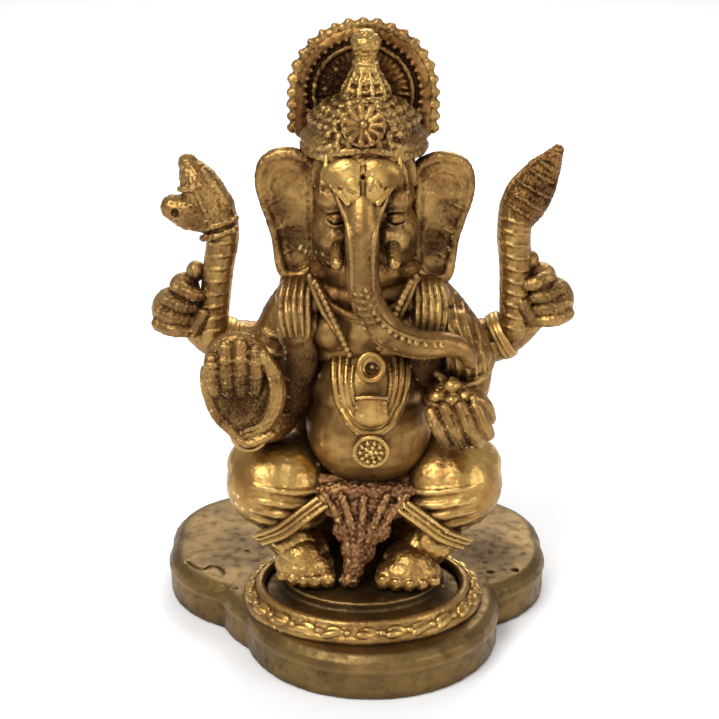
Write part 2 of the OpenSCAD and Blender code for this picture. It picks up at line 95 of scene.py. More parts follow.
def block(at, size):
    dropAll()
    shape.primitive_cube_add(size=2 * mm, location=spot(at))
    bpy.context.object.scale = size
    return fix(bpy.context.object)


def lumps(mass, side=1, rows=12):
    # the balls a casting is built up from; side -1 mirrors them
    return [ball((x * side, y, z), size, rows=rows) for (x, y, z), size in mass]


def flip(line, side):
    return [(x * side, y, z) for x, y, z in line]


def turned(count):
    # the angles that share out a full turn
    return [2 * math.pi * k / count for k in range(count)]


def clock(radius, angle, y):
    # a point on an upright circle
    return (radius * math.cos(angle), y, radius * math.sin(angle))


def curveThrough(points, step=1.0):
    points = [Vector(p) for p in points]
    line = []
    for i in range(len(points) - 1):
        a, b, c = points[max(i - 1, 0)], points[i], points[i + 1]
        d = points[min(i + 2, len(points) - 1)]
        count = max(2, round((c - b).length / step))
        for k in range(count):
            f = k / count
            line.append(0.5 * (2 * b + (c - a) * f + (2 * a - 5 * b + 4 * c - d) * f * f
                               + (3 * b - a - 3 * c + d) * f ** 3))
    line.append(points[-1])
    return line


def rod(points, radii, step=1.2, closed=False, sides=3):
    # a tapered bar through the points, with round ends
    if isinstance(radii, (int, float)):
        radii = [radii] * len(points)
    line = [(Vector(p[:3]), p[3]) for p in curveThrough([(*p, r) for p, r in zip(points, radii)], step)]
    if not closed:
        (first, r0), (last, r1) = line[0], line[-1]
        out0 = (first - line[1][0]).normalized()
        out1 = (last - line[-2][0]).normalized()
        ends = [(0.5, 0.87), (0.87, 0.5), (0.99, 0.12)]
        line = [(first + out0 * r0 * s, r0 * c) for s, c in reversed(ends)] + line
        line += [(last + out1 * r1 * s, r1 * c) for s, c in ends]
    dropAll()
    bpy.ops.curve.primitive_nurbs_path_add(location=(0, 0, 0))
    wire = bpy.context.object.data
    wire.splines.clear()
    spline = wire.splines.new("POLY")
    spline.points.add(len(line) - 1)
    for point, (place, r) in zip(spline.points, line):
        point.co = (*spot(place), 1)
        point.radius = r
    spline.use_cyclic_u = closed
    wire.bevel_depth, wire.bevel_resolution, wire.use_fill_caps = mm, sides, not closed
    bpy.ops.object.convert(target="MESH")
    return bpy.context.object


def oval(at, width, depth, thick, wave=0.0, count=1, steps=72):
    # a closed oval bar lying flat, with an optional wavy thickness
    points, radii = [], []
    for k in range(steps):
        a = 2 * math.pi * k / steps
        points.append((at[0] + width * math.cos(a), at[1] + depth * math.sin(a), at[2]))
        radii.append(thick * (1 + wave * math.sin(a * count)))
    return rod(points, radii, step=99, closed=True)


def upright(radius, y, thick):
    # a closed round bar standing up
    return rod([clock(radius, a, y) for a in turned(72)], thick, step=99, closed=True)


def join(name, parts):
    pickOnly(*parts)
    if len(parts) > 1:
        bpy.ops.object.join()
    piece = bpy.context.object
    piece.name = piece.data.name = name
    return piece


def change(piece, kind, **settings):
    # adds a modifier and applies it at once
    pickOnly(piece)
    step = piece.modifiers.new(kind.lower(), kind)
    for key, value in settings.items():
        setattr(step, key, value)
    bpy.ops.object.modifier_apply(modifier=step.name)
    return piece


def fuse(name, parts, grain=0.3, rounds=3):
    # runs the parts into one casting
    piece = join(name, parts)
    change(piece, "REMESH", mode="VOXEL", voxel_size=grain * mm)
    if rounds:
        change(piece, "SMOOTH", factor=0.5, iterations=rounds)
    return piece


def cut(piece, cutters, grain=0.25):
    tool = fuse("cutter", cutters, grain, 0)
    change(piece, "BOOLEAN", operation="DIFFERENCE", solver="MANIFOLD", object=tool)
    bpy.data.objects.remove(tool)
    return piece


def lay(piece, line, lift=0.0, aim=(0, 1, 0), step=1.0):
    # drops a line drawn in front of the piece onto its surface; aim is the way it is dropped
    aim = Vector(aim)
    found = []
    for point in curveThrough(line, step):
        start = spot(point) - aim * 60 * mm
        hit, place, normal, face = piece.ray_cast(start, aim)
        if hit:
            found.append(tuple(place / mm + normal * lift - bench["place"]))
    return found


def ridge(piece, line, thick, lift=0.0, aim=(0, 1, 0), taper=0.6):
    found = lay(piece, line, lift, aim)
    if len(found) < 3:
        return []
    last = len(found) - 1
    radii = [thick * (1 - (1 - taper) * abs(2 * i / last - 1) ** 2) for i in range(last + 1)]
    return [rod(found, radii, step=9)]


def roughen(piece, size, height):
    # lumpy cast skin
    pattern = bpy.data.textures.new(piece.name + "_skin", "CLOUDS")
    pattern.noise_scale, pattern.noise_depth = size * mm, 3
    return change(piece, "DISPLACE", texture=pattern, texture_coords="LOCAL", strength=height * mm,
        mid_level=0.5)


def paintStainAndShade(piece, marks):
    # patina and painted shade put on by place: (centre, radius, amount) in mm from the bench
    layer = piece.data.attributes.get("patina_and_shade") or piece.data.attributes.new("patina_and_shade", "FLOAT", "POINT")
    marks = [(spot(place), radius * mm, amount) for place, radius, amount in marks]
    for vertex, value in zip(piece.data.vertices, layer.data):
        for place, radius, amount in marks:
            near = (vertex.co - place).length / radius
            if near < 1:
                value.value = max(value.value, amount * (1 - near * near))


def settle(piece, finish, *nodes, skin=None, marks=None):
    # last steps of each piece: skin, patina and painted shade, smooth faces, finish, and the solids it stands
    # for
    if skin:
        roughen(piece, *skin)
    if marks:
        paintStainAndShade(piece, marks)
    fix(piece)
    bpy.ops.object.shade_smooth()
    piece.data.materials.clear()
    piece.data.materials.append(looks[finish])
    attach(piece, "root")
    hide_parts(*nodes)
    return piece


# linear colours; tarnish, rough and pits say how worn the brass is; the darkest colour stands for the patina
# in hollows and also for painted shade
brassFinishes = {
    "antique_brass": {
        "bright": (0.41, 0.245, 0.078), "deep": (0.25, 0.130, 0.042), "patina_and_shade": (0.050, 0.020, 0.009),
        "rubbed": (0.74, 0.52, 0.22), "tarnish": 0.28, "rough": 0.40, "pits": 0.6,
    },
    "worn_brass": {
        "bright": (0.54, 0.335, 0.10), "deep": (0.35, 0.190, 0.055), "patina_and_shade": (0.060, 0.024, 0.010),
        "rubbed": (0.86, 0.64, 0.30), "tarnish": 0.16, "rough": 0.34, "pits": 0.5,
    },
    "dark_brass": {
        "bright": (0.29, 0.150, 0.045), "deep": (0.16, 0.070, 0.022), "patina_and_shade": (0.030, 0.012, 0.007),
        "rubbed": (0.56, 0.36, 0.13), "tarnish": 0.55, "rough": 0.46, "pits": 0.7,
    },
    "patina_brass": {
        "bright": (0.31, 0.150, 0.060), "deep": (0.16, 0.066, 0.030), "patina_and_shade": (0.048, 0.018, 0.011),
        "rubbed": (0.70, 0.47, 0.20), "tarnish": 0.5, "rough": 0.48, "pits": 1.0,
    },
    "plinth_brass": {
        "bright": (0.215, 0.135, 0.047), "deep": (0.140, 0.086, 0.034), "patina_and_shade": (0.060, 0.036, 0.017),
        "rubbed": (0.52, 0.34, 0.12), "tarnish": 0.3, "rough": 0.42, "pits": 0.4,
    },
}


def wire(tree, *pairs):
    for start, end in pairs:
        tree.links.new(start, end)


def noise(tree, coord, scale, detail=4):
    node = tree.nodes.new("ShaderNodeTexNoise")
    node.inputs["Scale"].default_value = scale
    node.inputs["Detail"].default_value = detail
    wire(tree, (coord, node.inputs["Vector"]))
    return node.outputs["Fac"]


def remap(tree, value, low, high, outLow=0.0, outHigh=1.0):
    node = tree.nodes.new("ShaderNodeMapRange")
    for name, number in (("From Min", low), ("From Max", high), ("To Min", outLow), ("To Max", outHigh)):
        node.inputs[name].default_value = number
    wire(tree, (value, node.inputs["Value"]))
    return node.outputs["Result"]


def sums(tree, how, one, two):
    node = tree.nodes.new("ShaderNodeMath")
    node.operation, node.use_clamp = how, how == "ADD"
    for socket, value in zip(node.inputs, (one, two)):
        if isinstance(value, float):
            socket.default_value = value
        else:
            wire(tree, (value, socket))
    return node.outputs[0]


def blend(tree, amount, one, two):
    node = tree.nodes.new("ShaderNodeMix")
    node.data_type = "RGBA"
    wire(tree, (amount, node.inputs["Factor"]))
    for socket, value in ((node.inputs["A"], one), (node.inputs["B"], two)):
        if isinstance(value, tuple):
            socket.default_value = (*value, 1)
        else:
            wire(tree, (value, socket))
    return node.outputs["Result"]


def metal(name):
    material = bpy.data.materials.new(name)
    material.use_nodes = True
    tree = material.node_tree
    shader = tree.nodes["Principled BSDF"]
    shader.inputs["Metallic"].default_value = 1.0
    return material, tree, shader, tree.nodes.new("ShaderNodeTexCoord").outputs["Object"]


def pitted(tree, height, strength, depth):
    bump = tree.nodes.new("ShaderNodeBump")
    bump.inputs["Strength"].default_value = strength
    bump.inputs["Distance"].default_value = depth * mm
    wire(tree, (height, bump.inputs["Height"]))
    return bump.outputs["Normal"]


def brassFinish(name, look):
    material, tree, shader, coord = metal(name)
    patches, mottle, grit = noise(tree, coord, 130, 3), noise(tree, coord, 520, 5), noise(tree, coord,
        2300, 3)
    point = tree.nodes.new("ShaderNodeNewGeometry").outputs["Pointiness"]
    # painted shade: the ambient-occlusion mask darkens recesses and the gaps between pieces towards the
    # darkest colour, standing in for shade as well as for patina in the hollows
    shade = tree.nodes.new("ShaderNodeAmbientOcclusion")
    shade.samples = 6
    shade.inputs["Distance"].default_value = 3.2 * mm
    painted = tree.nodes.new("ShaderNodeAttribute")
    painted.attribute_name = "patina_and_shade"
    hollow = remap(tree, shade.outputs["AO"], 0.86, 0.30)
    crease = remap(tree, point, 0.495, 0.43)
    # patina and painted shade: occlusion, creases, the painted marks and tarnish mottle are summed into one
    # darkening mask
    patinaAndShade = sums(tree, "ADD", sums(tree, "ADD", hollow, crease), painted.outputs["Fac"])
    patinaAndShade = sums(tree, "ADD", patinaAndShade, remap(tree, mottle, 0.52, 0.72, 0.0, look["tarnish"] * 1.4))
    patinaAndShade = sums(tree, "MULTIPLY", patinaAndShade, remap(tree, grit, 0.25, 0.6, 0.72, 1.0))
    edge = sums(tree, "MULTIPLY", remap(tree, point, 0.515, 0.60), remap(tree, mottle, 0.3, 0.6, 0.35, 1.0))
    tone = blend(tree, remap(tree, patches, 0.38, 0.62), look["bright"], look["deep"])
    tone = blend(tree, patinaAndShade, tone, look["patina_and_shade"])
    tone = blend(tree, edge, tone, look["rubbed"])
    dull = sums(tree, "ADD", remap(tree, mottle, 0.3, 0.7, look["rough"] - 0.06, look["rough"] + 0.08),
                sums(tree, "MULTIPLY", patinaAndShade, 0.26))
    height = sums(tree, "ADD", sums(tree, "MULTIPLY", mottle, 0.6), sums(tree, "MULTIPLY", grit, 0.35))
    wire(tree, (pitted(tree, height, look["pits"], 0.22), shader.inputs["Normal"]),
         (tone, shader.inputs["Base Color"]), (dull, shader.inputs["Roughness"]))
    return material


def steelFinish(name):
    material, tree, shader, coord = metal(name)
    mottle, grit = noise(tree, coord, 600, 4), noise(tree, coord, 3000, 2)
    tone = blend(tree, remap(tree, mottle, 0.4, 0.65), (0.56, 0.55, 0.53), (0.30, 0.27, 0.24))
    dull = remap(tree, mottle, 0.3, 0.7, 0.28, 0.5)
    wire(tree, (pitted(tree, grit, 0.2, 0.05), shader.inputs["Normal"]),
         (tone, shader.inputs["Base Color"]), (dull, shader.inputs["Roughness"]))
    return material


for name, look in brassFinishes.items():
    looks[name] = brassFinish(name, look)
looks["screw_steel"] = steelFinish("screw_steel")
print("finishes ready")

studio = {
    "sky": (0.62, 0.62, 0.63, 1), "skyLight": 0.85, "eye": (-0.6, -367.0, 207.0), "tilt": 67.26,
    "lens": 106.1,
    "lights": [("key", (-170, -260, 400), 260, 1.5), ("fill", (330, -210, 210), 200, 0.4),
        ("back", (60, 330, 330), 260, 0.8), ("front", (0, -420, 90), 160, 0.15),
        ("table_wash", (0, 520, 360), 560, 0.9)],
}
bpy.ops.object.camera_add(location=Vector(studio["eye"]) * mm,
    rotation=(math.radians(studio["tilt"]), 0, 0))
bpy.context.scene.camera = bpy.context.object
bpy.context.object.data.lens = studio["lens"]
bpy.context.object.data.clip_start = 10 * mm
for name, place, size, power in studio["lights"]:
    bpy.ops.object.light_add(type="AREA", location=Vector(place) * mm)
    lamp = bpy.context.object
    lamp.name, lamp.data.size, lamp.data.energy = name, size * mm, power
    aim = Vector((0, 0, 55)) if name != "table_wash" else Vector((0, place[1], 0))
    lamp.rotation_euler = (aim - Vector(place)).to_track_quat("-Z", "Y").to_euler()
sky = bpy.data.worlds.new("white_room")
bpy.context.scene.world = sky
sky.use_nodes = True
tree = sky.node_tree
ray = tree.nodes.new("ShaderNodeLightPath")
seen = tree.nodes.new("ShaderNodeBackground")
mix = tree.nodes.new("ShaderNodeMixShader")
tree.nodes["Background"].inputs["Color"].default_value = studio["sky"]
tree.nodes["Background"].inputs["Strength"].default_value = studio["skyLight"]
seen.inputs["Color"].default_value = (1, 1, 1, 1)
wire(tree, (ray.outputs["Is Camera Ray"], mix.inputs["Fac"]),
    (tree.nodes["Background"].outputs[0], mix.inputs[1]), (seen.outputs[0], mix.inputs[2]),
    (mix.outputs[0], tree.nodes["World Output"].inputs["Surface"]))
bpy.context.scene.view_settings.view_transform = "Standard"
bpy.ops.mesh.primitive_plane_add(size=3, location=(0, 0, 0))
table = bpy.context.object
table.name = "table_top"
paper = bpy.data.materials.new("table_paper")
paper.use_nodes = True
tree = paper.node_tree
tree.nodes["Principled BSDF"].inputs["Roughness"].default_value = 0.75
coord = tree.nodes.new("ShaderNodeTexCoord").outputs["Object"]
wire(tree, (blend(tree, noise(tree, coord, 40), (0.93, 0.93, 0.93), (0.97, 0.97, 0.97)),
            tree.nodes["Principled BSDF"].inputs["Base Color"]))
table.data.materials.append(paper)
print("studio ready")

plinth = {
    "grain": 0.55, "shoulder": 14, "bandLow": 5.7, "bandHigh": 6.7, "bandOut": 0.3,
    "curl": [[(-34.6, 2.6), (-33.0, 0.2), (-31.0, -0.9)],
        [(-31.0, -0.9), (-29.6, 0.6), (-28.0, -0.2), (-27.2, -2.4)],
        [(-27.0, -6.4), (-25.8, -7.8), (-24.4, -8.2)]],
    "pits": [(29.8, -1.0, 0.8), (24.9, -1.8, 0.75), (-23.0, 7.0, 0.5)],
}
startAt("plinth")
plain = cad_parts["plinth"].data.copy()
slab = bpy.data.objects.new("plinth_slab", plain)
bpy.context.collection.objects.link(slab)
pickOnly(slab)
bpy.ops.object.mode_set(mode="EDIT")
shape.select_all(action="SELECT")
shape.remove_doubles(threshold=0.005 * mm)
bpy.ops.object.mode_set(mode="OBJECT")
change(slab, "REMESH", mode="VOXEL", voxel_size=plinth["grain"] * mm)
change(slab, "SMOOTH", factor=0.5, iterations=plinth["shoulder"])
# faint band round the outer wall
pickOnly(slab)
for vertex in slab.data.vertices:
    outward = vertex.normal.x * vertex.co.x + vertex.normal.y * vertex.co.y > 0
    inBand = plinth["bandLow"] < vertex.co.z / mm < plinth["bandHigh"]
    vertex.select = outward and inBand and abs(vertex.normal.z) < 0.6
bpy.ops.object.mode_set(mode="EDIT")
bpy.ops.mesh.select_mode(type="VERT")
bpy.ops.transform.shrink_fatten(value=plinth["bandOut"] * mm)
bpy.ops.object.mode_set(mode="OBJECT")
change(slab, "SMOOTH", factor=0.5, iterations=1)
marks = []
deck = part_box("plinth")[1][2] / mm - bench["place"].z
centre = bench["place"]
for line in plinth["curl"]:
    marks.append(rod([(x - centre.x, y - centre.y, deck + 0.15) for x, y in line], 0.5, step=0.6))
for x, y, r in plinth["pits"]:
    marks.append(ball((x - centre.x, y - centre.y, deck + 0.1), r, rows=8))
cut(slab, marks, 0.2)
# painted shade: the marks darken the deck on the right and at the back left
settle(slab, "plinth_brass", "plinth", skin=(2.4, 0.12),
    marks=[((23, 6, 4.5), 12, 0.8), ((25, -2, 4.5), 9, 0.6), ((-22, 8, 4.5), 11, 0.35)])
print("plinth done")

seat = {"lip": (19.4, 16.0, 0.95, 0.95), "cove": (20.5, 17.0, -0.5, 1.2), "foot": (21.4, 17.8, -1.2, 1.35),
        "petals": 24, "petalRing": (21.7, 18.1, -0.2), "dish": (18.4, 15.2), "block": (15.2, 12.5)}
startAt("seat_border")
parts = [oval((0, 0, z), width, depth, thick, 0.05, 11) for width, depth, z, thick
         in (seat["lip"], seat["cove"], seat["foot"])]
border = fuse("seat_border_ring", parts, 0.28, 2)
settle(border, "antique_brass", "seat_border", skin=(0.9, 0.16))

parts = []
width, depth, z = seat["petalRing"]
for k in range(seat["petals"]):
    a = 2 * math.pi * (k + dice.uniform(-0.12, 0.12)) / seat["petals"]
    here = (width * math.cos(a), depth * math.sin(a), z)
    lean = math.degrees(math.atan2(depth * math.cos(a), -width * math.sin(a)))
    parts.append(ball(here, (2.2, 0.85, 1.0), (0, dice.uniform(-16, 16), lean + 14), rows=8))
    b = a + math.pi / seat["petals"]
    parts.append(ball((width * math.cos(b) * 0.985, depth * math.sin(b) * 0.985, z + 0.45),
        (0.8, 0.8, 0.7), rows=8))
    curl = [(width * math.cos(a + t) * s, depth * math.sin(a + t) * s, z + h) for t, s, h in
            ((-0.10, 1.0, -0.5), (-0.04, 0.965, 0.7), (0.05, 0.96, 0.8), (0.11, 0.99, 0.1))]
    parts.append(rod(curl, [0.4, 0.6, 0.6, 0.4], step=0.8))
scroll = fuse("border_scroll", parts, 0.2, 1)
settle(scroll, "worn_brass", "border_petals")

startAt("seat_plate")
parts = [drum((0, 0, -0.9), (*seat["dish"], 1.0)), drum((0, 2.4, 0.1), (*seat["block"], 1.75))]
plate = fuse("seat_dish", parts, 0.3, 3)
cut(plate, [oval((0, 0.6, 0.9), 16.6, 13.9, 0.75)], 0.25)
change(plate, "SMOOTH", factor=0.5, iterations=2)
settle(plate, "plinth_brass", "seat_plate", skin=(1.2, 0.2),
    marks=[((-13, -2, 1), 5, 0.7), ((14, -4, 1), 5, 0.8), ((0, -10.4, 1), 3.5, 0.4),
    ((0, 3, 1), 9, 0.7)])

# two screws from below, heads up inside the hollow plinth
screw = {"head": 2.85, "headHigh": 1.6, "shank": 1.46, "slot": 0.3}
startAt("fixing_screws")
low, high = [Vector(corner) / mm - bench["place"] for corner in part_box("fixing_screws")]
parts = []
for side in (-1, 1):
    x = side * (high.x - screw["head"])
    crown = drum((x, 0, low.z + screw["headHigh"] / 2),
        (screw["head"], screw["head"], screw["headHigh"] / 2))
    change(crown, "BEVEL", width=0.25 * mm, segments=3)
    groove = block((x, 0, low.z), (screw["head"] * 1.2, screw["slot"], 0.7))
    change(crown, "BOOLEAN", operation="DIFFERENCE", solver="EXACT", object=groove)
    bpy.data.objects.remove(groove)
    parts.append(crown)
    parts.append(rod([(x, 0, low.z + screw["headHigh"] - 0.2), (x, 0, high.z - screw["shank"])],
        screw["shank"]))
    turns = [(x + (screw["shank"] - 0.06) * math.cos(t * 0.7), (screw["shank"] - 0.06) * math.sin(t * 0.7),
              low.z + screw["headHigh"] + 0.3 + t * 0.07) for t in range(48)]
    parts.append(rod(turns, 0.16, step=99, sides=1))
settle(join("screws", parts), "screw_steel", "fixing_screws")
print("seat done")

hips = {
    "mass": [((0, 4.0, -10.6), (13.6, 8.0, 5.0)), ((0, 3.5, -6.9), (14.6, 9.0, 6.2)),
        ((0, 1.8, -1.2), (16.6, 11.0, 8.5)), ((0, 0.4, 6.3), (15.0, 11.2, 9)),
        ((0, -1.6, 11.3), (12.6, 9.4, 4.4))],
    "pleats": 13,
}
startAt("hips")
parts = lumps(hips["mass"], rows=16)
hipCloth = fuse("hips_cloth", parts, 0.4, 6)
folds = []
for k in range(hips["pleats"]):
    x = -15 + 30 * k / (hips["pleats"] - 1)
    line = [(x * 0.72, 0, 11.4), (x * 0.95, 0, 3.4), (x, 0, -4), (x * 0.9, 0, -11), (x * 0.8, 0, -15)]
    folds += ridge(hipCloth, line, 0.75, aim=(0, -1, 0))
hipCloth = fuse("hips_cloth", [hipCloth] + folds, 0.38, 3)
settle(hipCloth, "dark_brass", "hips", skin=(1.4, 0.22))


def wrap(piece, heights, thick, side):
    # a fold that runs round the knee; angles turn from the front to the outside
    found = []
    (x, y), (start, end) = thigh["middle"], thigh["turn"]
    levels = curveThrough([(k, h) for k, h in enumerate(heights)], 0.12)
    for k, level in enumerate(levels):
        a = math.radians(start + (end - start) * k / (len(levels) - 1))
        aim = Vector((-side * math.sin(a), math.cos(a), 0))
        origin = spot((x * side, y, level[1])) - aim * 50 * mm
        hit, place, normal, face = piece.ray_cast(origin, aim)
        if hit:
            found.append(tuple(place / mm - normal * 0.1 - bench["place"]))
    last = len(found) - 1
    return rod(found, [thick * (1 - 0.85 * abs(2 * i / last - 1) ** 3) for i in range(last + 1)], step=9)


thigh = {
    "mass": [((-9.0, 5.2, -1.1), (9, 9, 9)), ((-2.1, 2.2, 0.0), (10.0, 10.0, 10.0)),
        ((2.2, -2.8, 0.2), (9.4, 9.8, 9.9)), ((5.0, -4.0, 1.2), (8.5, 8.6, 8.7)),
        ((5.2, -2.6, 4.4), (8.2, 7.6, 6.0))],
    "folds": [([1.8, 2.2, 3.0, 4.2], 0.75), ([-0.6, -0.4, 0.4, 1.6], 0.9),
        ([-2.8, -2.8, -2.0, -0.8], 1.0), ([-4.8, -5.0, -4.4, -3.2], 1.0),
        ([-6.6, -7.2, -6.8, -5.8], 0.85)],
    "middle": (2.5, -1.2), "turn": (-72, 34),
}
hem = {"line": [(-6.0, 0.2, 4.2), (-2.4, -0.7, 1.7), (1.5, -0.6, -1.5), (5.8, 1.4, -4.2)],
       "thick": [1.2, 1.5, 1.5, 1.1], "ribs": [(1.15, 0.5), (0.0, 0.28), (-1.15, 0.5)]}
shin = {"mass": [((2.4, 0.9, 0.8), (3.3, 4.3, 3.8)), ((0, -0.4, -0.1), (4.3, 4.8, 4.5)),
                 ((-2.6, -0.8, -1.0), (3.1, 4.2, 3.7))],
        "fold": [(4.6, -2.2, 1.2), (1.0, -4.4, -0.6), (-3.6, -4.3, -0.8)]}
for side, name in ((-1, "right"), (1, "left")):
    node = name + "_thigh"
    startAt(node)
    parts = lumps(thigh["mass"], side, 16)
    knee = fuse(node + "_cloth", parts, 0.35, 5)
    folds = [wrap(knee, heights, thick, side) for heights, thick in thigh["folds"]]
    knee = fuse(node + "_cloth", [knee] + folds, 0.3, 1)
    settle(knee, "worn_brass", node, skin=(1.0, 0.18),
        marks=[((-4.0 * side, -8, 1), 4.5, 0.5), ((-2.0 * side, -9, -7), 4.0, 0.6)])

    startAt(name + "_hem")
    line = flip(hem["line"], side)
    parts = [rod([(x, y + 0.6, z) for x, y, z in line], hem["thick"])]
    for up, thick in hem["ribs"]:
        parts.append(rod([(x + up * 0.72 * side, y - 0.75, z + up * 0.7) for x, y, z in line], thick))
    band = fuse(name + "_hem_band", parts, 0.2, 1)
    settle(band, "worn_brass", name + "_hem", skin=(0.7, 0.14))

    startAt(name + "_shin")
    parts = lumps(shin["mass"], side) + [rod(flip(shin["fold"], side), 0.6)]
    leg = fuse(name + "_shin_cloth", parts, 0.3, 3)
    settle(leg, "worn_brass", name + "_shin", skin=(0.9, 0.4))

feet = {
    "right_foot": {
        "dome": [((-0.6, 1.7, 0.1), (5.2, 4.4, 4.4)), ((-0.2, -0.8, -1.2), (5.7, 4.2, 3.3)),
                 ((-0.6, -0.2, 0.4), (4.4, 4.2, 3.6))],
        "toeHeight": -2.9,
        "toes": [(4.1, -4.0, 1.75), (1.9, -4.6, 1.5), (-0.2, -4.6, 1.4), (-2.3, -4.0, 1.3),
                 (-4.3, -2.9, 1.2)],
    },
    "left_foot": {
        "dome": [((0.4, 1.6, -0.2), (5.2, 4.3, 4.2)), ((0.2, -1.0, -1.0), (6.1, 4.0, 3.2)),
                 ((0.4, -0.2, 0.2), (4.6, 4.2, 3.6))],
        "toeHeight": -2.1,
        "toes": [(-4.6, -3.0, 1.75), (-2.2, -4.0, 1.5), (0.2, -4.5, 1.4), (2.6, -4.3, 1.3), (4.9, -3.6, 1.2)],
    },
}
for node, foot in feet.items():
    startAt(node)
    parts = lumps(foot["dome"])
    low = foot["toeHeight"]
    for x, y, r in foot["toes"]:
        toe = [(x * 0.84, y + 3.6, low + 1.5), (x * 0.96, y + 1.4, low + 1.0), (x, y, low + 0.2)]
        parts.append(rod(toe, [r * 0.85, r * 0.95, r * 1.05]))
        parts.append(ball((x, y - r * 0.5, low + 0.75), (r * 0.7, r * 0.45, r * 0.55), rows=7))
    sole = fuse(node + "_casting", parts, 0.22, 1)
    settle(sole, "worn_brass", node, skin=(0.7, 0.25))

sash = {
    "mass": [((0, 2.4, 7.4), (10.0, 2.6, 2.4)), ((-0.2, 1.4, 4.2), (8.2, 2.8, 3.0)),
        ((-0.8, -0.2, 0.6), (5.6, 2.6, 3.4)), ((-1.5, -1.5, -3.0), (3.3, 2.2, 3.2)),
        ((-2.3, -2.3, -6.4), (2.0, 1.8, 2.6)), ((-3.1, -3.0, -8.6), (1.9, 1.5, 1.5))],
    "folds": [[(-7.6, 0.4, 7.2), (-4.2, -1.6, 1.6), (-2.2, -3.6, -4)],
        [(-4.4, -0.8, 7.6), (-2.6, -2.4, 2), (-2.0, -3.9, -4)],
        [(-0.4, -1.2, 7.4), (-1.0, -2.9, 1), (-2.0, -4.0, -5.4)],
        [(3.8, -0.8, 7.6), (1.2, -2.4, 2), (-1.6, -3.6, -4.4)],
        [(7.6, 0.4, 7.2), (3.4, -1.4, 2), (-0.4, -2.8, -3.4)]],
}
startAt("front_sash")
parts = lumps(sash["mass"])
parts += [rod([(x, y + 0.35, z) for x, y, z in line], [0.8, 0.8, 0.6]) for line in sash["folds"]]
cloth = fuse("sash_cloth", parts, 0.25, 1)
settle(cloth, "patina_brass", "front_sash", skin=(0.75, 0.75))
print("legs done")

belly = {"mass": [((0.2, 0.6, -2.0), (11.9, 11.6, 12.2)), ((0, 1.6, 6.4), (11.2, 10.4, 9.0))]}
startAt("belly")
paunch = fuse("belly_casting", lumps(belly["mass"], rows=18), 0.35, 6)
# painted shade: the marks darken the underside of the belly and its upper sides beside the arms
settle(paunch, "antique_brass", "belly", skin=(1.6, 0.12),
    marks=[((0.2, -8, -12), 7.5, 0.9), ((-9, -9, 12), 6, 0.5), ((9, -9, 13), 7, 0.7)])

necklace = {
    "tiers": [(6.8, 54.6, 44.0, 0.82), (5.6, 54.2, 45.3, 0.74), (4.5, 53.6, 46.4, 0.66),
        (3.5, 53.0, 47.3, 0.5)],
    "reach": 116,
}
startAt("necklace_rows")
home = bench["place"]
parts = []
for wide, top, bottom, thick in necklace["tiers"]:
    line = []
    for k in range(-9, 10):
        a = math.radians(necklace["reach"] * k / 9)
        line.append((1.5 + wide * math.sin(a) - home.x, 0,
            bottom + (top - bottom) * (1 - math.cos(a)) - home.z))
    parts += ridge(paunch, line, thick, 0.12, taper=0.9)
    for point in lay(paunch, line, 0.32, step=1.25):
        parts.append(ball(point, thick * 0.72, rows=5))
chain = fuse("necklace_chain", parts, 0.16, 1)
settle(chain, "worn_brass", "necklace_rows")

bellyPlate = {
    "low": ((0.4, 0.5, -0.8), (3.3, 1.1, 2.6)), "high": ((0.4, 0.7, 0.9), (3.1, 1.0, 2.4), (-10, 0, 0)),
    "edge": ([(-2.3, 0.4, 2.6), (0.4, 0.1, 2.9), (3.1, 0.4, 2.6)], 0.42),
}
startAt("belly_plate")
parts = [ball(*bellyPlate["low"]), ball(*bellyPlate["high"]), rod(*bellyPlate["edge"])]
plaque = fuse("belly_plaque", parts, 0.16, 4)
settle(plaque, "worn_brass", "belly_plate", skin=(0.8, 0.12))


def medal(node, name, finish, look):
    # raised rim, rays or rings of grains and a middle boss, facing front
    startAt(node)
    lean = math.radians(look["tilt"])
    radius = look["radius"]

    def tip(x, y, z):
        return (x, y * math.cos(lean) - z * math.sin(lean), z * math.cos(lean) + y * math.sin(lean))

    parts = [ball((0, 0.1, 0), (radius, 0.95, radius), (look["tilt"], 0, 0))]
    rim = [tip(*clock(radius - look["edge"], a, -0.45)) for a in turned(24)]
    parts.append(rod(rim, look["edge"], step=99, closed=True))
    for a in turned(look["rays"]):
        ray = [tip(*clock(radius * away, a, -0.55)) for away in (0.36, 0.82)]
        parts.append(rod(ray, [0.5, 0.85], step=0.6))
    for count, away in look["grains"]:
        for a in turned(count):
            parts.append(ball(tip(*clock(radius * away, a, -0.85)), radius * 0.13, rows=8))
    parts.append(ball(tip(0, -0.9, 0), look["boss"], rows=8))
    settle(fuse(name, parts, 0.14, 1), finish, node, skin=(0.5, 0.1))


pendant = {"radius": 3.5, "tilt": 4, "edge": 0.5, "rays": 0, "grains": [(10, 0.56), (5, 0.28)], "boss": 0.6}
medal("pendant", "belly_pendant", "worn_brass", pendant)

brooch = {"size": (2.8, 0.9, 2.8), "tilt": -24, "ring": 2.2, "lean": 0.95, "thick": 0.65}
startAt("brooch")
ring = [clock(brooch["ring"], a, -0.25 + brooch["lean"] * math.sin(a)) for a in turned(20)]
parts = [ball((0, 0.4, 0), brooch["size"], (brooch["tilt"], 0, 0)),
         rod(ring, brooch["thick"], step=99, closed=True)]
clasp = fuse("waist_brooch", parts, 0.14, 1)
cut(clasp, [ball((0.1, -0.7, -0.1), (1.3, 1.0, 1.3))], 0.12)
clasp = fuse("waist_brooch", [clasp, ball((0.2, -0.2, 0), 0.5, rows=7)], 0.14, 1)
settle(clasp, "worn_brass", "brooch", marks=[((0.1, 0.2, 0), 1.6, 0.9)])

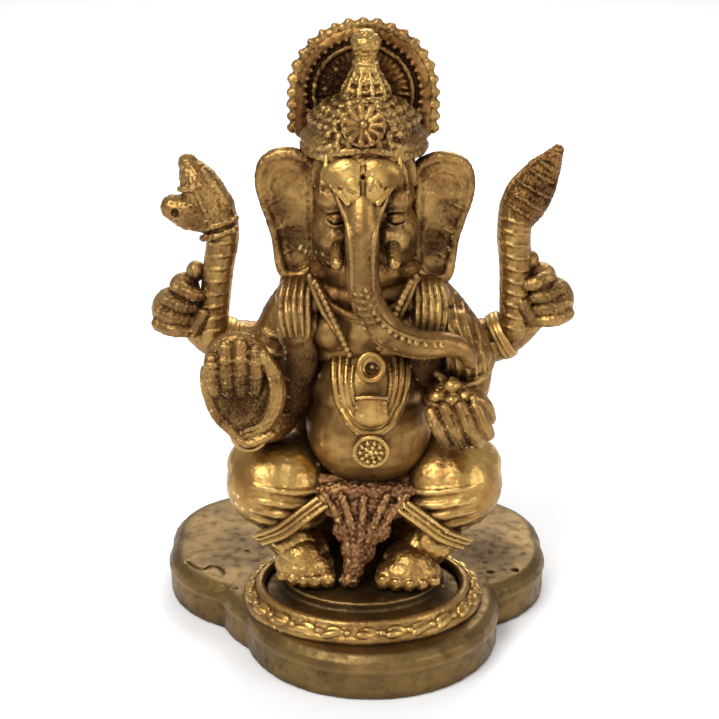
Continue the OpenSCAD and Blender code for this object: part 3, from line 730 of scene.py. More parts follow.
chest = {
    "mass": [((0, 3.6, -12), (14, 7.4, 8)), ((0, 1.8, -3), (14.2, 8.6, 11)),
        ((0, -0.6, 6), (13.6, 8.8, 8.6)), ((0, -0.6, 12), (12.6, 7.6, 6)),
        ((-11.6, -1.2, 13.2), (4.2, 5.4, 4.2)), ((11.6, -1.2, 13.2), (4.2, 5.4, 4.2)),
        ((-6.2, -6.5, 8.2), (4.0, 3.9, 3.9)), ((6.8, -6.3, 8.4), (4.0, 3.9, 3.9)),
        ((-9.4, 3.4, -9), (5.6, 6.8, 9.6)), ((10.2, 3.4, -8), (5.4, 6.8, 10.6))],
}
startAt("chest")
torso = fuse("chest_casting", lumps(chest["mass"], rows=16), 0.35, 4)
# painted shade: the marks darken the chest behind the trunk and its lower sides between the arms and the
# belly
settle(torso, "antique_brass", "chest", skin=(1.4, 0.2),
    marks=[((0, -8, 0), 6, 0.8), ((-11, -4, -6), 9, 1.0), ((11, -4, -6), 10, 1.0)])

neck = {
    "mass": [((0, 0, -2.6), (11.8, 8.2, 4.2)), ((0, 0.6, 1.0), (11.2, 7.6, 4.6)),
        ((0, -0.6, 1.4), (8.8, 8.0, 5.2))],
    "edge": [(-9.8, -4.6, 0.4), (-6, -8.4, -3.2), (0, -9.4, -5.2), (6, -8.4, -3.2), (9.8, -4.6, 0.4)],
}
startAt("neck")
collar = fuse("neck_collar", lumps(neck["mass"]) + [rod(neck["edge"], 0.8)], 0.35, 3)
settle(collar, "dark_brass", "neck", skin=(1.0, 0.3))

# strand of beads on both sides of the neck, resting on the chest
beads = {"count": 14, "size": 0.75, "cord": [(9.6, 1.2, 6.6), (7.4, -0.4, 1.0), (3.2, -1.2, -5.6)]}
startAt("neck_beads")
parts = []
for side in (-1, 1):
    for k in range(beads["count"]):
        f = k / (beads["count"] - 1)
        place = (side * (8.6 - 6.2 * f), -0.6 - 2.6 * math.sin(f * 2.2), 6.2 - 13.2 * f ** 1.15)
        parts.append(ball(place, beads["size"], rows=8))
    parts.append(rod(flip(beads["cord"], side), 0.7))
strand = fuse("neck_strand", parts, 0.2, 1)
settle(strand, "antique_brass", "neck_beads")

belt = {"cord": ((0, 0, 0), 15.2, 12.0, 1.15, 0.06, 17), "edge": ((0, 0, 1.1), 14.9, 11.8, 0.45)}
startAt("waist_belt")
cord = fuse("waist_cord", [oval(*belt["cord"]), oval(*belt["edge"])], 0.3, 1)
settle(cord, "patina_brass", "waist_belt", skin=(0.9, 0.3))

shawl = {
    "mass": [((-0.8, 4.6, 6.4), (4.4, 3.6, 3.6)), ((-0.2, 0.6, 5.2), (4.4, 4.4, 4.2)),
        ((0.3, -2.6, 0.8), (3.8, 2.8, 5.4)), ((-0.4, -2.8, -5.2), (3.4, 2.2, 6.0))],
    "pleats": [-3.2, -2.0, -0.8, 0.5, 1.8, 3.0],
}
for side, node in ((-1, "right_shawl"), (1, "left_shawl")):
    startAt(node)
    parts = lumps(shawl["mass"], side)
    cloth = fuse(node + "_cloth", parts, 0.3, 4)
    folds = []
    for x in shawl["pleats"]:
        line = [(x * 0.9 - 0.6, 0, 9.4), (x, 0, 5.4), (x, 0, 1.6), (x * 0.9 - 0.3, 0, -2.2)]
        folds += ridge(cloth, flip(line, side), 0.62, 0.05, (0, 0.94, -0.34), 0.3)
    cloth = fuse(node + "_cloth", [cloth] + folds, 0.22, 1)
    # painted shade: the marks darken the lower part of each shawl
    settle(cloth, "antique_brass", node, skin=(0.8, 0.14),
        marks=[((side * -0.4, -4, -7), 7.0, 0.9), ((side * -0.4, -4, -9), 7.0, 0.7)])

backShawl = {
    "mass": [((0, -3.2, 15.4), (9.2, 3.8, 4.2)), ((0, -2.4, 9), (13.0, 4.4, 7.6)),
        ((0, -2.0, 1), (12.8, 4.6, 8.4)), ((0, -0.8, -7.5), (13.2, 5.0, 7.6)),
        ((0, 1.0, -14), (14.0, 5.2, 5.0))],
    "pleats": 12, "hem": [(-13, 0, -15.6), (-6, 0, -16.6), (0, 0, -17), (6, 0, -16.6), (13, 0, -15.6)],
}
startAt("back_shawl")
cloth = fuse("back_shawl_cloth", lumps(backShawl["mass"], rows=16), 0.4, 5)
folds = []
for k in range(backShawl["pleats"]):
    x = -11.5 + 23 * k / (backShawl["pleats"] - 1)
    line = [(x * 0.55, 0, 16), (x * 0.9, 0, 8), (x + 0.8 * math.sin(k * 1.9), 0, -2), (x * 1.04, 0, -15.5)]
    folds += ridge(cloth, line, 0.7, aim=(0, -1, 0))
folds += ridge(cloth, backShawl["hem"], 0.8, 0.1, (0, -1, 0), 1.0)
cloth = fuse("back_shawl_cloth", [cloth] + folds, 0.34, 2)
settle(cloth, "antique_brass", "back_shawl", skin=(1.2, 0.2))
print("body done")

rightArm = {
    "line": [(3.6, 3.2, 11.4), (0.5, 3.2, 5.3), (-0.1, 3.0, -2.3), (0.1, 1.6, -8.9), (-1.9, -2.6, -11.5),
        (-5.7, -6.0, -10.3)],
    "thick": [4.2, 4.6, 5.0, 5.0, 4.0, 3.2], "drape": [((3.0, 1.6, -3.6), (4.6, 5.0, 9.0))],
    "folds": [(7.0, -2.0), (3.8, -2.4), (0.4, -2.8), (-3.2, -3.0), (-6.6, -2.8)],
    "cuff": [(-4.9, -2.0, 1.6), (-3.4, -4.6, -0.4), (0.2, -4.8, -1.2)],
}
startAt("right_front_arm")
parts = [rod(rightArm["line"], rightArm["thick"], sides=6)] + lumps(rightArm["drape"])
sleeve = fuse("right_front_sleeve", parts, 0.3, 2)
folds = []
for z, sag in rightArm["folds"]:
    folds += ridge(sleeve, [(-4.6, 0, z), (-1.6, 0, z + sag * 0.7), (2.0, 0, z + sag)], 0.55)
folds.append(rod(rightArm["cuff"], 0.7))
sleeve = fuse("right_front_sleeve", [sleeve] + folds, 0.26, 1)
# painted shade: the marks darken the sleeve's lower inner side beside the belly
settle(sleeve, "antique_brass", "right_front_arm", skin=(0.8, 0.35),
    marks=[((3, -3, -6), 7.5, 1.0), ((2.5, -4, 1), 5.5, 0.8)])

palm = {
    "leaf": [((-0.2, 0.9, -1.6), (7.0, 2.9, 8.6)), ((0.2, 1.0, -6.4), (4.8, 2.9, 5.0)),
        ((-1.0, 1.0, 4.6), (6.0, 2.6, 5.2))],
    "hollow": [((-1.2, -3.2, -2.8), (4.4, 2.4, 5.4))],
    "rims": [([(-0.6, -0.8, -10.0), (4.0, -1.2, -7.4), (6.2, -1.6, -2.4), (6.0, -1.8, 2.2),
        (4.0, -2.2, 6.2)], [1.3, 1.7, 1.8, 1.6, 1.2]),
        ([(-0.8, -0.8, -10.0), (-4.6, -0.8, -6.4), (-6.6, -0.8, -1.0), (-6.6, -1.0, 3.0)],
        [1.2, 1.1, 1.0, 1.1])],
    "fingers": [(-5.5, 6.8), (-2.9, 9.2), (-0.2, 9.8), (2.5, 8.2)],
    "creases": [([(0.4, -2.0, -8.6), (4.6, -2.6, -6.4), (7.0, -1.6, -2.6)], 0.5),
        ([(-2.6, -1.2, -8.6), (0.6, -2.4, -11.0), (5.2, -1.6, -9.6)], 0.9)],
}
startAt("right_front_hand")
parts = lumps(palm["leaf"], rows=14)
hand = fuse("blessing_hand", parts, 0.22, 2)
cut(hand, lumps(palm["hollow"], rows=14))
parts = [hand] + [rod(line, radii) for line, radii in palm["rims"]]
for x, top in palm["fingers"]:
    parts.append(rod([(x * 0.9, -1.2, -1.0), (x, -1.9, 3.0), (x, -1.5, top - 1.5)], [1.3, 1.6, 1.4]))
    for up in (1.0, 3.6):
        parts.append(ball((x, -2.7, top * 0.35 + up - 1.2), (1.4, 0.9, 0.9), rows=7))
parts += [rod(line, thick) for line, thick in palm["creases"]]
hand = fuse("blessing_hand", parts, 0.2, 1)
settle(hand, "antique_brass", "right_front_hand", skin=(0.55, 0.32),
    marks=[((-1.0, -1.4, -3.4), 6.6, 1.0), ((-3.4, -2.4, 1.2), 3.4, 0.7), ((0.8, -2.4, 1.2), 3.4, 0.7)])

leftArm = {
    "line": [(-3.9, 3.8, 8.8), (0, 3.1, 4.1), (2.9, 1.5, -1.3), (3.1, -0.9, -6.5), (2.4, -4.4, -9.0),
        (1.0, -7.2, -9.8)],
    "thick": [4.4, 4.5, 4.9, 4.6, 3.7, 3.1],
    "drape": [((3.0, -1.4, -1.6), (4.9, 5.0, 4.4)), ((0.2, -0.8, 3), (4.2, 4.6, 5.0)),
        ((-1.8, 2.0, -6.0), (4.6, 5.0, 6.4))],
    "folds": [-3.0, -1.4, 0.2, 1.8, 3.4, 5.0],
    "cuff": [(-2.6, -5.6, -3.0), (0.6, -6.8, -5.0), (4.2, -6.0, -4.8), (7.2, -3.2, -2.8), (8.0, 0.2, 0)],
}
startAt("left_front_arm")
parts = [rod(leftArm["line"], leftArm["thick"], sides=6)] + lumps(leftArm["drape"])
sleeve = fuse("left_front_sleeve", parts, 0.3, 2)
folds = []
for x in leftArm["folds"]:
    folds += ridge(sleeve, [(x - 1.6, 0, 9.6), (x - 0.4, 0, 5), (x + 0.8, 0, 0), (x + 1.2, 0, -4.4)], 0.5)
folds.append(rod(leftArm["cuff"], 0.75))
sleeve = fuse("left_front_sleeve", [sleeve] + folds, 0.26, 1)
settle(sleeve, "antique_brass", "left_front_arm", skin=(0.9, 0.18),
    marks=[((-3, -4, -5.5), 6, 0.9), ((1, -4, -8), 4, 0.6)])

fist = {
    "mass": [((0.2, 1.6, -0.6), (5.6, 4.2, 4.6)), ((1.8, 0.6, 2.2), (4.6, 3.6, 3.2))],
    "fingers": [[(-4.6, -3.6, 2.4), (-3.2, -5.0, -0.4), (-1.6, -3.8, -3.6)],
        [(-2.2, -4.2, 3.6), (-0.6, -5.4, 0.2), (1.2, -4.2, -3.9)],
        [(0.6, -4.2, 3.9), (2.2, -5.2, 0.4), (3.9, -3.8, -3.3)],
        [(3.4, -3.2, 3.5), (4.8, -4.0, 0.6), (5.8, -2.8, -2.2)]],
    "thumb": [(6.0, 0.4, -0.4), (5.2, -1.6, 3.0), (3.2, -2.4, 4.6)],
}
startAt("left_front_hand")
parts = lumps(fist["mass"])
parts += [rod(line, [1.35, 1.45, 1.3]) for line in fist["fingers"]] + [rod(fist["thumb"], [1.5, 1.4, 1.2])]
hand = fuse("bowl_hand", parts, 0.2, 1)
gaps = []
for line in fist["fingers"][:3]:
    x = line[0][0]
    gaps.append(rod([(x + 1.35, -6.0, 2.8), (x + 2.7, -7.0, 0), (x + 4.4, -5.6, -3.8)], 0.5))
cut(hand, gaps, 0.16)
settle(hand, "antique_brass", "left_front_hand", skin=(0.7, 0.18),
    marks=[((0, -4.6, -3.6), 4.4, 0.9), ((-4.6, -3, -1), 3.6, 0.8)])

bowl = {
    "rim": ((0, 0, 1.4), 4.5, 4.3, 0.6, 0.08, 9), "body": ((0, 0, -0.2), (4.4, 4.3, 1.8)),
    "hollow": ((0, 0, 2.3), (3.9, 3.8, 1.6)), "sweets": 6, "sweet": (1.75, 1.75, 1.6),
}
startAt("sweets_bowl")
dish = fuse("sweets_dish", [oval(*bowl["rim"]), ball(*bowl["body"])], 0.2, 1)
cut(dish, [ball(*bowl["hollow"])])
settle(dish, "antique_brass", "sweets_bowl", skin=(0.7, 0.15))

startAt("sweets")
parts = []
last = bowl["sweets"] - 1  # this one lies on top of the ring of the others
for k in range(bowl["sweets"]):
    a = 2 * math.pi * k / last - math.pi / 2
    x, y, z = (2.7 * math.cos(a), 2.6 * math.sin(a), -1.2) if k < last else (0, 0, 0.7)
    parts.append(ball((x, y, z), bowl["sweet"], rows=10))
    swirl = []
    for t in range(8):
        away = 0.5 * (1 - t / 9)
        swirl.append((x + away * math.cos(t * 1.3), y + away * math.sin(t * 1.3), z + 1.2 + t * 0.06))
    parts.append(rod(swirl, 0.3, step=99, sides=1))
pile = fuse("sweets_pile", parts, 0.18, 1)
settle(pile, "worn_brass", "sweets", skin=(0.6, 0.22))
print("front arms done")

rear = {
    "right_rear_arm": [(-9.95, 0, 3.9), (-3.95, 0.4, -2.05), (2.65, 0, -2.05), (7.45, -0.6, -0.05),
        (10.2, -1.2, 3.0)],
    "left_rear_arm": [(-10.1, 0, 3.5), (-4.1, 0.4, -1.9), (2.5, 0, -1.9), (7.3, -0.6, 1.0),
        (10.1, -1.2, 4.2)],
    "thick": [4.2, 4.5, 4.4, 3.8, 3.3],
    "palm": [((-2.3, 0.4, -3.8), (3.7, 3.6, 3.7)), ((1.9, 0.8, -2.3), (4.2, 4.0, 4.4)),
        ((-0.3, 0.4, 2.2), (2.9, 3.0, 2.9)), ((-2.5, 0.1, 5.6), (1.8, 1.8, 2.0))],
    "thumb": [(-1.9, -2.2, -5.0), (-4.0, -3.1, -1.7)], "folds": [-5.5, -3.4, -1.2, 1.0],
}
for side, name in ((-1, "right_rear"), (1, "left_rear")):
    node = name + "_arm"
    startAt(node)
    limb = fuse(node + "_casting", [rod(flip(rear[node], side), rear["thick"], sides=6)], 0.3, 2)
    folds = []
    for x in rear["folds"]:
        folds += ridge(limb, flip([(x, 0, 3.6), (x - 0.6, 0, -0.4), (x - 0.2, 0, -5)], side), 0.45)
    limb = fuse(node + "_casting", [limb] + folds, 0.26, 1)
    settle(limb, "antique_brass", node, skin=(0.8, 0.25), marks=[((-2 * side, -3, -3), 6, 0.6)])

    startAt(name + "_hand")
    parts = lumps(rear["palm"], side)
    for k in range(4):
        x, z = 4.4 - k * k * 0.42, -4.4 + k * 2.4
        finger = [(x, -1.0, z), (x - 2.2, -3.3, z - 0.3), (x - 5.2 + 0.4 * k, -3.0, z - 0.8)]
        parts.append(rod(flip(finger, side), [1.65, 1.45, 1.25]))
        parts.append(ball(((x + 0.1) * side, -1.6, z + 0.2), (1.5, 1.5, 1.2), rows=8))
    parts.append(rod(flip(rear["thumb"], side), [1.8, 1.5]))
    hand = fuse(name + "_hand_fist", parts, 0.22, 1)
    marks = [((-3 * side, -2, -3), 3.6, 0.8), ((1 * side, -3, 0), 4.2, 0.6), ((-3 * side, 0, 3), 3.4, 0.6)]
    settle(hand, "antique_brass", name + "_hand", skin=(0.7, 0.3), marks=marks)

bangle = {"away": 26.2, "radius": 4.2, "lean": 62, "rows": [(-0.9, 0.5), (0.0, 0.62), (0.9, 0.5)]}
startAt("rear_bracelets")
parts = []
lean = math.radians(bangle["lean"])
for side in (-1, 1):
    for offset, thick in bangle["rows"]:
        ring = []
        for a in turned(22):
            x = offset * math.sin(lean) + bangle["radius"] * math.cos(a) * math.cos(lean)
            z = offset * math.cos(lean) - bangle["radius"] * math.cos(a) * math.sin(lean)
            ring.append((side * (bangle["away"] + x), bangle["radius"] * math.sin(a), side * 0.5 + z))
        parts.append(rod(ring, thick, step=99, closed=True))
settle(fuse("rear_bangles", parts, 0.22, 1), "worn_brass", "rear_bracelets")

cuff = {"places": [((-19.85, 0.3, -2.8), 64, -18), ((19.95, -0.1, 2.9), 62, 24)], "radius": 3.5,
        "rings": [(0.75, 0.0, 0.0), (0.5, -1.0, -0.2)]}
startAt("front_bracelets")
parts = []
for (x, y, z), lean, turn in cuff["places"]:
    dropAll()
    for thick, back, down in cuff["rings"]:
        shape.primitive_torus_add(major_segments=40, minor_segments=10, major_radius=cuff["radius"] * mm,
                                  minor_radius=thick * mm, location=spot((x, y + back, z + down)),
                                  rotation=(math.radians(lean), 0, math.radians(turn)))
        parts.append(fix(bpy.context.object))
settle(fuse("front_bangles", parts, 0.2, 1), "worn_brass", "front_bracelets")


def staff(node, name, look):
    # a bound shaft with cords lying across it
    startAt(node)
    line, radii = look["shaft"]
    core = fuse(name, [rod(line, radii, sides=5)], 0.28, 2)
    parts = [core]
    wide, left, right, thick = look["cord"]
    for k in range(look["cords"]):
        z = -11 + k * look["pitch"]
        parts += ridge(core, [(-wide, 0, z + left), (0, 0, z), (wide, 0, z + right)], thick)
    settle(fuse(name, parts, 0.22, 1), "antique_brass", node, skin=(0.7, 0.22))


goad = {
    "shaft": ([(-1.4, -0.9, -12.6), (-0.86, -0.78, -6.5), (0.0, -0.2, 0.5), (0.9, 0.4, 6.5),
        (0.0, 0.6, 12.2)], [2.7, 2.9, 2.9, 3.1, 3.3]),
    "head": [([(3.1, 0, -4.6), (1.2, 0, -0.2), (-0.7, 0, 3.6), (-2.1, 0, 6.4)], [3.8, 4.0, 3.4, 1.9]),
        ([(1.7, 0, -3.0), (-2.8, 0, -2.6), (-5.0, 0, -2.0)], [3.9, 3.5, 2.5])],
    "cords": 9, "pitch": 2.4, "cord": (3.4, -0.3, 0.3, 0.34), "windings": [-6.2, -4.2],
    "strap": [(-3.6, -2.0, 2.2), (-1.2, -3.5, 2.8), (2.0, -2.2, 3.6)],
    "ribs": [[(6.0, 0, -2.6), (3.4, 0, 2.2), (0.6, 0, 6.0)],
        [(2.4, 0, -5.0), (0.4, 0, 0), (-1.6, 0, 4.6)]],
}
staff("goad_shaft", "goad_staff", goad)
startAt("goad_head")
parts = [rod(line, radii, sides=5) for line, radii in goad["head"]]
hook = fuse("goad_hook", parts, 0.24, 3)
folds = [rod([(0.4, -2.6, z - 0.9), (3.0, -3.8, z), (6.4, -2.4, z + 0.9)], 0.72) for z in goad["windings"]]
folds.append(rod(goad["strap"], 0.6))
for line in goad["ribs"]:
    folds += ridge(hook, line, 0.5)
hook = fuse("goad_hook", [hook] + folds, 0.2, 1)
cut(hook, [ball((-4.6, -2.6, -2.2), (0.9, 0.8, 0.9))], 0.15)
settle(hook, "antique_brass", "goad_head", skin=(0.7, 0.45),
    marks=[((-1, -3, -3), 3.0, 0.5), ((2, -3, -8.4), 2.6, 0.6)])

noose = {
    "shaft": ([(0.0, -0.8, -12.0), (0.2, -0.65, -5.8), (0.1, -0.05, 1.2), (-0.3, 0.55, 6.2),
        (0.2, 0.7, 11.8)], [2.7, 3.0, 3.1, 3.2, 3.4]),
    "leaf": ([(-2.3, 0, -5.6), (-0.7, 0, -2.4), (1.4, 0, 1.2), (3.3, 0, 4.4), (4.7, 0, 6.8)],
        [3.6, 4.3, 3.7, 2.4, 1.2]),
    "cords": 10, "pitch": 2.3, "cord": (3.2, 0.6, -0.4, 0.36),
}
staff("noose_shaft", "noose_staff", noose)
startAt("noose_head")
line, radii = noose["leaf"]
rope = fuse("noose_rope", [rod(line, radii, sides=5)], 0.24, 2)
parts = [rope]
for k in range(6):
    x, z = -2.9 + k * 1.45 + dice.uniform(-0.4, 0.4), -4.6 + k * 2.1 + dice.uniform(-0.4, 0.4)
    parts += ridge(rope, [(x - 3.2, 0, z + 2.2), (x, 0, z + 0.9), (x + 3.4, 0, z - 1.2)],
        0.5 + dice.uniform(-0.12, 0.12))
parts += ridge(rope, [(-5.0, 0, -4.0), (-4.2, 0, -0.4), (-1.4, 0, 3.4), (3.2, 0, 6.8)], 0.55)
rope = fuse("noose_rope", parts, 0.2, 1)
settle(rope, "dark_brass", "noose_head", skin=(0.6, 0.5), marks=[((1.5, -2, 0.5), 4.5, 0.7)])
print("rear arms done")

head = {
    "mass": [((0, 1.2, -7), (6.6, 7.4, 6.4)), ((0, 0.4, -2), (9.0, 8.6, 8.6)),
        ((0, 0.4, 5), (9.6, 9.2, 8.6)), ((-5.0, -3.4, -4.4), (4.6, 5.2, 5.0)),
        ((5.2, -3.4, -4.4), (4.6, 5.2, 5.0)), ((-4.6, -1.0, -8.0), (5.0, 6.2, 5.2)),
        ((4.8, -1.0, -8.0), (5.0, 6.2, 5.2)), ((-5.4, -4.6, 2.2), (3.6, 4.2, 3.0)),
        ((5.6, -4.6, 2.2), (3.6, 4.2, 3.0)), ((-4.8, -6.2, -5.2), (3.6, 3.7, 3.4)),
        ((5.0, -6.2, -5.2), (3.6, 3.7, 3.4))],
    "eyes": [(-4.9, -9.2, -1.0), (5.8, -9.2, -1.0)],
    "temple": [(9.0, 3.6), (8.7, 6.6), (7.4, 9.4), (5.6, 11.4)],
}
startAt("head")
parts = lumps(head["mass"], rows=14)
skull = fuse("head_casting", parts, 0.3, 4)
cut(skull, [ball((x, y + 0.6, z), (1.9, 1.3, 1.3)) for x, y, z in head["eyes"]])
folds = []
for x, y, z in head["eyes"]:
    upperLid = [(x - 2.1, 0, z + 0.4), (x - 1.0, 0, z + 1.4), (x + 1.0, 0, z + 1.4), (x + 2.1, 0, z + 0.4)]
    lowerLid = [(x - 2.1, 0, z - 0.6), (x - 0.6, 0, z - 1.6), (x + 1.6, 0, z - 1.2)]
    folds += ridge(skull, upperLid, 0.5) + ridge(skull, lowerLid, 0.42)
    for away, thick in ((0.0, 0.75), (1.4, 0.55)):
        temple = [(side - away, 0, height) for side, height in head["temple"]]
        folds += ridge(skull, flip(temple, 1 if x > 0 else -1), thick, taper=0.9)
skull = fuse("head_casting", [skull] + folds, 0.28, 1)
marks = [(place, 2.8, 1.0) for place in head["eyes"]] + [((-7.4, -4, -8), 6, 0.9), ((7.6, -4, -8), 6, 0.9)]
settle(skull, "antique_brass", "head", skin=(0.7, 0.3), marks=marks)

startAt("eyes")
parts = []
for x in (-5.3, 5.3):
    parts += [ball((x, 0.3, -0.1), (1.45, 0.9, 1.0)), ball((x - 0.3, -0.5, -0.3), (0.7, 0.4, 0.5), rows=8)]
settle(fuse("eye_castings", parts, 0.14, 1), "dark_brass", "eyes")

trunk = {
    "line": [(-8.1, 3.4, 16.0), (-8.1, 1.9, 13.2), (-8.1, 0.7, 10.0), (-8.1, -0.6, 5.6),
        (-8.0, -1.5, -0.4), (-6.4, -1.7, -6.4), (-2.6, -1.9, -10.8), (2.4, -1.7, -12.8),
        (7.4, -1.3, -13.1), (10.6, -0.9, -14.5), (11.4, -0.7, -16.6)],
    "thick": [1.4, 2.5, 3.0, 3.1, 3.1, 3.0, 2.9, 2.6, 2.3, 1.9, 1.5], "wrinkles": 5,
    "flanks": [(-8.1, 4.4, 13.8), (-8.1, 2.6, 9.6), (-8.1, 1.9, 5), (-8.0, 1.9, -1.4)],
    "root": [(1.4, 0.6, 8.2), (2.6, 1.9, 11.6), (4.2, 3.0, 14.2)],
    "inner": [(-6.9, 0, -3.0), (-5.2, 0, -6.4), (-2.2, 0, -9.2), (2.4, 0, -11.2), (7.0, 0, -11.6)],
    "outer": [(-10.2, 0, -2), (-8.9, 0, -7), (-5.6, 0, -11.9), (0.2, 0, -14.6), (5.6, 0, -15.1)],
    "beads": [(-7.4, 0, -1.4), (-6.0, 0, -5.6), (-3.2, 0, -9.2), (1.6, 0, -11.7), (6.2, 0, -12.4)],
}
startAt("trunk")
parts = [rod(trunk["line"], trunk["thick"], sides=6)]
for side in (-1, 1):
    parts.append(rod([(-8.1 + side * x, y, z) for x, y, z in trunk["root"]], [1.3, 1.5, 1.1]))
snout = fuse("trunk_casting", parts, 0.26, 3)
parts = [snout]
for side in (-1, 1):
    parts += ridge(snout, [(middle + side * x, 0, z) for middle, x, z in trunk["flanks"]], 0.55)
parts += ridge(snout, trunk["inner"], 0.4)
for point in lay(snout, trunk["beads"], 0.05, step=1.35):
    parts.append(ball(point, 0.5, rows=6))
for k in range(trunk["wrinkles"]):
    x, z = k * 0.3, -1.6 - 1.3 * k
    parts += ridge(snout, [(-10.6 + x, 0, z - 0.3), (-8.2 + x, 0, z - 0.7), (-5.8 + x, 0, z - 0.1)], 0.28)
parts += ridge(snout, trunk["outer"], 0.35)
snout = fuse("trunk_casting", parts, 0.22, 1)
settle(snout, "antique_brass", "trunk", skin=(0.6, 0.14),
    marks=[((10.4, -1, -14.4), 2.4, 0.4), ((-8, -3, 4), 7, 0.5), ((-7.6, -3, -5), 6, 0.5),
    ((0, -3, -12), 6, 0.4)])

# two-lobed plate over the brow, with a groove down its middle
brow = {"lobe": ((3.3, 0.8, 1.5), (3.8, 1.6, 2.7)), "point": ((1.7, 0.0, -1.4), (2.2, 1.5, 2.9)),
        "edge": [(6.4, 2.4, 3.8), (6.4, 1.0, 0.6), (4.0, -0.2, -2.2), (2.6, -0.9, -3.8)],
        "groove": ([(0, 1.0, 4.6), (0, -0.7, 1.6), (0, -1.1, -3.0)], 0.62),
        "scratches": [([(-3.6, -1.3, -0.9), (-1.2, -1.6, -1.7)], 0.4),
                      ([(1.2, -1.6, -1.2), (2.4, -1.3, 0.9), (3.4, -1.0, -0.7)], 0.36)]}
startAt("forehead_plate")
parts = []
for key, tilt, turn in (("lobe", -14, 22), ("point", 0, 8)):
    (x, y, z), size = brow[key]
    parts += [ball((x * side, y, z), size, (tilt, turn * side, 0)) for side in (-1, 1)]
parts += [rod(flip(brow["edge"], side), [0.5, 0.6, 0.6, 0.5]) for side in (-1, 1)]
plate = fuse("brow_plate", parts, 0.18, 3)
cut(plate, [rod(line, thick) for line, thick in [brow["groove"]] + brow["scratches"]], 0.14)
settle(plate, "worn_brass", "forehead_plate", skin=(0.6, 0.14),
    marks=[((0, -1.4, 0), 1.1, 1.0), ((-5.4, 0, 0), 2.4, 0.6), ((5.4, 0, 0), 2.4, 0.6)])

for node, side in (("right_tusk", -1), ("left_tusk", 1)):
    startAt(node)
    line = [(0, 2.0, 0.9), (side * 0.1, 0.4, 0.1), (side * 0.2, -1.9, -1.1)]
    tusk = fuse(node + "_stub", [rod(line, [1.45, 1.35, 1.2])], 0.16, 1)
    settle(tusk, "worn_brass", node, skin=(0.5, 0.2),
        marks=[((0, 1.6, 1.0), 2.8, 1.0), ((0, 1.6, 1.0), 2.4, 1.0)])

ear = {
    "mass": [((0.5, 0.4, 8.2), (5.5, 1.7, 4.2)), ((0.1, 0.0, 4.4), (6.2, 1.9, 6.0)),
        ((-1.3, 0.0, -1.4), (5.1, 1.8, 5.6)), ((-1.6, 0.0, -6.8), (4.4, 1.7, 4.8)),
        ((-1.1, -0.2, -9.0), (3.8, 1.6, 3.4))],
    "rim": [(-4.9, 0.2, 7.6), (-3.4, 0.4, 10.4), (0.6, 0.8, 11.5), (4.3, 1.0, 10.2), (5.6, 0.8, 7.0),
        (5.3, 0.5, 3.6), (3.9, 0.2, -0.8), (2.9, 0.0, -4.4), (2.3, -0.2, -8.2), (1.2, -0.6, -11.2),
        (-1.6, -0.8, -11.4), (-3.9, -0.8, -9.8), (-4.9, -0.7, -7.6)],
    "rimThick": [0.8, 1.1, 1.2, 1.15, 1.0, 0.85, 0.8, 0.8, 0.95, 1.15, 1.15, 0.95, 0.6],
    "dish": [((0.9, -2.6, 6.6), (4.2, 1.9, 4.0)), ((0.7, -2.6, 1.6), (4.0, 1.8, 5.2)),
        ((-0.6, -2.5, -4.8), (3.0, 1.6, 4.6))],
    "folds": [[(-3.9, 0, 8.2), (-4.2, 0, 2.0), (-4.4, 0, -3.4), (-3.9, 0, -7.4)]],
    "creases": [[(1.8, 0, 3.2), (3.0, 0, 2.7), (4.2, 0, 2.2)],
        [(1.0, 0, -1.8), (2.0, 0, -2.3), (3.0, 0, -2.8)],
        [(-0.6, 0, -6.4), (0.5, 0, -6.9), (1.6, 0, -7.4)]],
}
for side, node in ((-1, "right_ear"), (1, "left_ear")):
    startAt(node)
    flap = fuse(node + "_flap", lumps(ear["mass"], side, 14), 0.26, 3)
    cut(flap, lumps(ear["dish"], side))
    parts = [flap, rod([(x * side, y - 1.0, z) for x, y, z in ear["rim"]], ear["rimThick"])]
    for line in ear["folds"]:
        parts += ridge(flap, flip(line, side), 1.0, -0.3)
    for line in ear["creases"]:
        parts += ridge(flap, flip(line, side), 0.3)
    flap = fuse(node + "_flap", parts, 0.22, 3)
    # painted shade: the marks darken the dish of each ear
    settle(flap, "antique_brass", node, skin=(0.8, 0.3),
        marks=[((2.2 * side, -1, 1), 4.2, 0.6), ((-0.2 * side, -1, -4.5), 5.0, 0.9),
        ((-4.4 * side, -1, -2), 4.0, 0.6), ((0, -1.6, -9.0), 2.4, 0.7)])
print("head done")

crown = {
    "mass": [((0, 0, -2.4), (11.4, 11.4, 3.0)), ((0, 0, -0.4), (10.2, 10.2, 3.4)),
        ((0, 0, 1.2), (8.4, 8.4, 3.2)), ((0, 0, 2.4), (5.8, 5.8, 2.8))],
    "hoops": [(-4.3, 10.9, 0.8), (-2.7, 11.1, 0.5)], "arch": ((0, -10.5, -7.6), (7.4, 5.0, 4.9)),
    "band": [(-10.2, -4.6), (-7.4, -4.0), (-4.2, -2.7), (0, -2.1), (4.2, -2.7), (7.4, -4.0),
        (10.2, -4.6)],
    "bands": [(0.0, 0.75), (1.5, 0.55)], "scaleRows": 5, "petals": [(12, 4.9, 0.95), (16, 6.6, 0.85)],
}
startAt("crown")
parts = lumps(crown["mass"], rows=16) + [drum((0, 0, -3.6), (10.9, 10.9, 1.7))]
cap = fuse("crown_cap", parts, 0.34, 4)
cut(cap, [ball(*crown["arch"])])  # arch over the brow
parts = [cap] + [oval((0, 0, z), radius, radius, thick) for z, radius, thick in crown["hoops"]]
for lift, thick in crown["bands"]:  # these arch over the brow
    parts += ridge(cap, [(x, 0, lift + z) for x, z in crown["band"]], thick, 0.1, taper=0.9)
